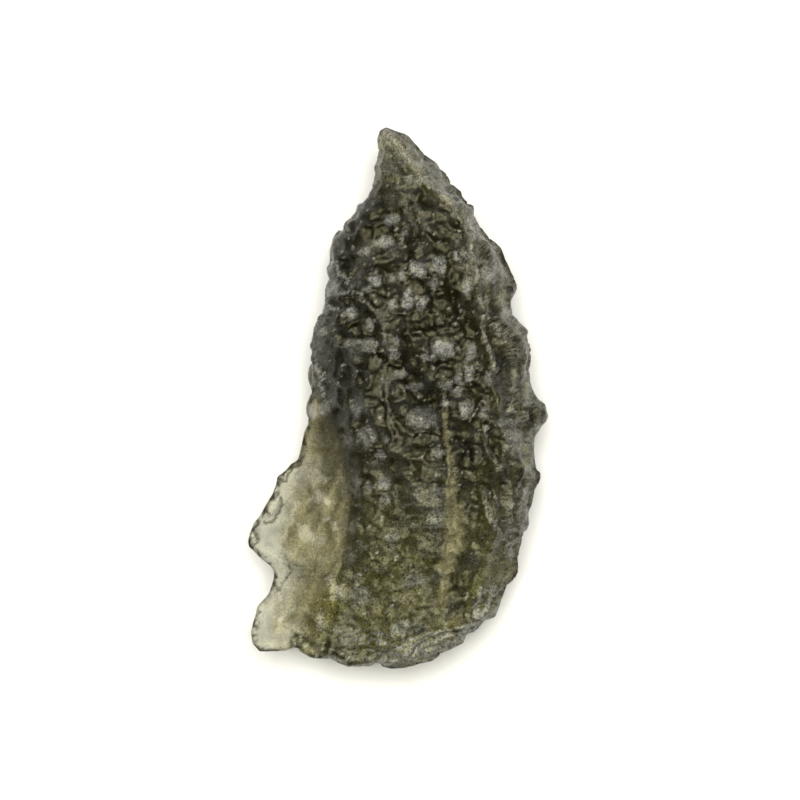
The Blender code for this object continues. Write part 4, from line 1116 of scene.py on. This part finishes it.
def roughen(obj, upper):
    """Adds the finest pits, a rough grit and the fibres of the flank."""
    points = positions(obj)
    xy = points[:, :2]
    base = Base(xy)
    room = smooth(*FINE_WALL, base.top - base.bottom) * (FINE_FLAKE + (1 - FINE_FLAKE) * base.skin)
    room *= smooth(0, FINE_REST, points[:, 2])
    crest, side = beside(xy, CREST)
    lines = FIBRE_HEIGHT * fibres(xy, crest) * smooth(*FLANK_EDGE, crest * side) * upper
    fine = FINE_PIT_DEPTH * pits(points, spacing=0.6 * MM, share=0.3, seed=1)
    fine += GRIT_HEIGHT * roughness(points, size=0.4 * MM, octaves=4)
    place(obj, points - normals(obj) * ((fine - lines) * room)[:, None])


def stone():
    """The whole stone, standing for the solid of the frame."""
    obj, share = slab("moldavite_glass", VOXEL)
    points = positions(obj)
    base = Base(points[:, :2])
    points[:, 2] = base.bottom + (base.top - base.bottom) * share
    place(obj, points)
    carve(obj, share, VOXEL)
    roughen(obj, share > 0.5)
    cut_flat_spot(obj)
    points = positions(obj)
    colours = skin_colours(points, normals(obj)[:, 2], Base(points[:, :2]))
    skin = obj.data.color_attributes.new("skin", "FLOAT_COLOR", "POINT")
    skin.data.foreach_set("color", colours.ravel())
    centre(obj)
    obj.data.shade_smooth()
    obj.data.materials.append(glass())
    return obj


def floor():
    """A plain white floor under the stone."""
    half = 3.0
    corners = [(-half, -half, 0), (half, -half, 0), (half, half, 0), (-half, half, 0)]
    obj = object_from("floor", corners, [(0, 1, 2, 3)])
    material = bpy.data.materials.new("floor")
    look = {"Base Color": (0.525, 0.52, 0.495, 1), "Roughness": 0.9, "Specular IOR Level": 0}
    Nodes(material).set("Principled BSDF", look)
    obj.data.materials.append(material)
    return obj


def area_light(name, place_at, target, size, power):
    """A square soft light that faces the target."""
    light = bpy.data.lights.new(name, "AREA")
    light.size = size
    light.energy = power
    light.color = WARM_WHITE
    obj = added(name, light)
    obj.location = place_at
    obj.rotation_euler = (Vector(target) - Vector(place_at)).to_track_quat("-Z", "Y").to_euler()


def dome(horizon, overhead):
    """White light from all round, stronger near the horizon, as in a light tent."""
    world = bpy.data.worlds.new("studio")
    bpy.context.scene.world = world
    nodes = Nodes(world)
    where = nodes.add("TexCoord")
    parts = nodes.add("SeparateXYZ")
    fade = nodes.add("MapRange", {"From Min": 0.05, "From Max": 0.6, "To Min": horizon, "To Max": overhead})
    nodes.link(
        (where, "Generated", parts, "Vector"),
        (parts, "Z", fade, "Value"),
        (fade, "Result", nodes.set("Background"), "Strength"),
    )


def camera():
    """The camera straight above the stone."""
    data = bpy.data.cameras.new("camera")
    data.lens = 200
    data.sensor_width = 36
    data.clip_end = 20
    height = PHOTO_PX * PIXEL * data.lens / data.sensor_width
    (middle,) = plan([(PHOTO_PX / 2, PHOTO_PX / 2)])
    obj = added("camera", data)
    obj.location = (*middle, RIM_HEIGHT + height)
    bpy.context.scene.camera = obj


piece = stone()
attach(piece, "root")
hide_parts("moldavite")
floor()
dome(horizon=0.35, overhead=0.08)
area_light("softbox", place_at=(0.0, 0.15, 1.0), target=(0, 0, 0), size=0.65, power=30)
camera()

scene = bpy.context.scene
scene.view_settings.view_transform = "Standard"
scene.cycles.use_denoising = True
scene.cycles.max_bounces = 24
scene.cycles.transmission_bounces = 20
scene.cycles.transparent_max_bounces = 20
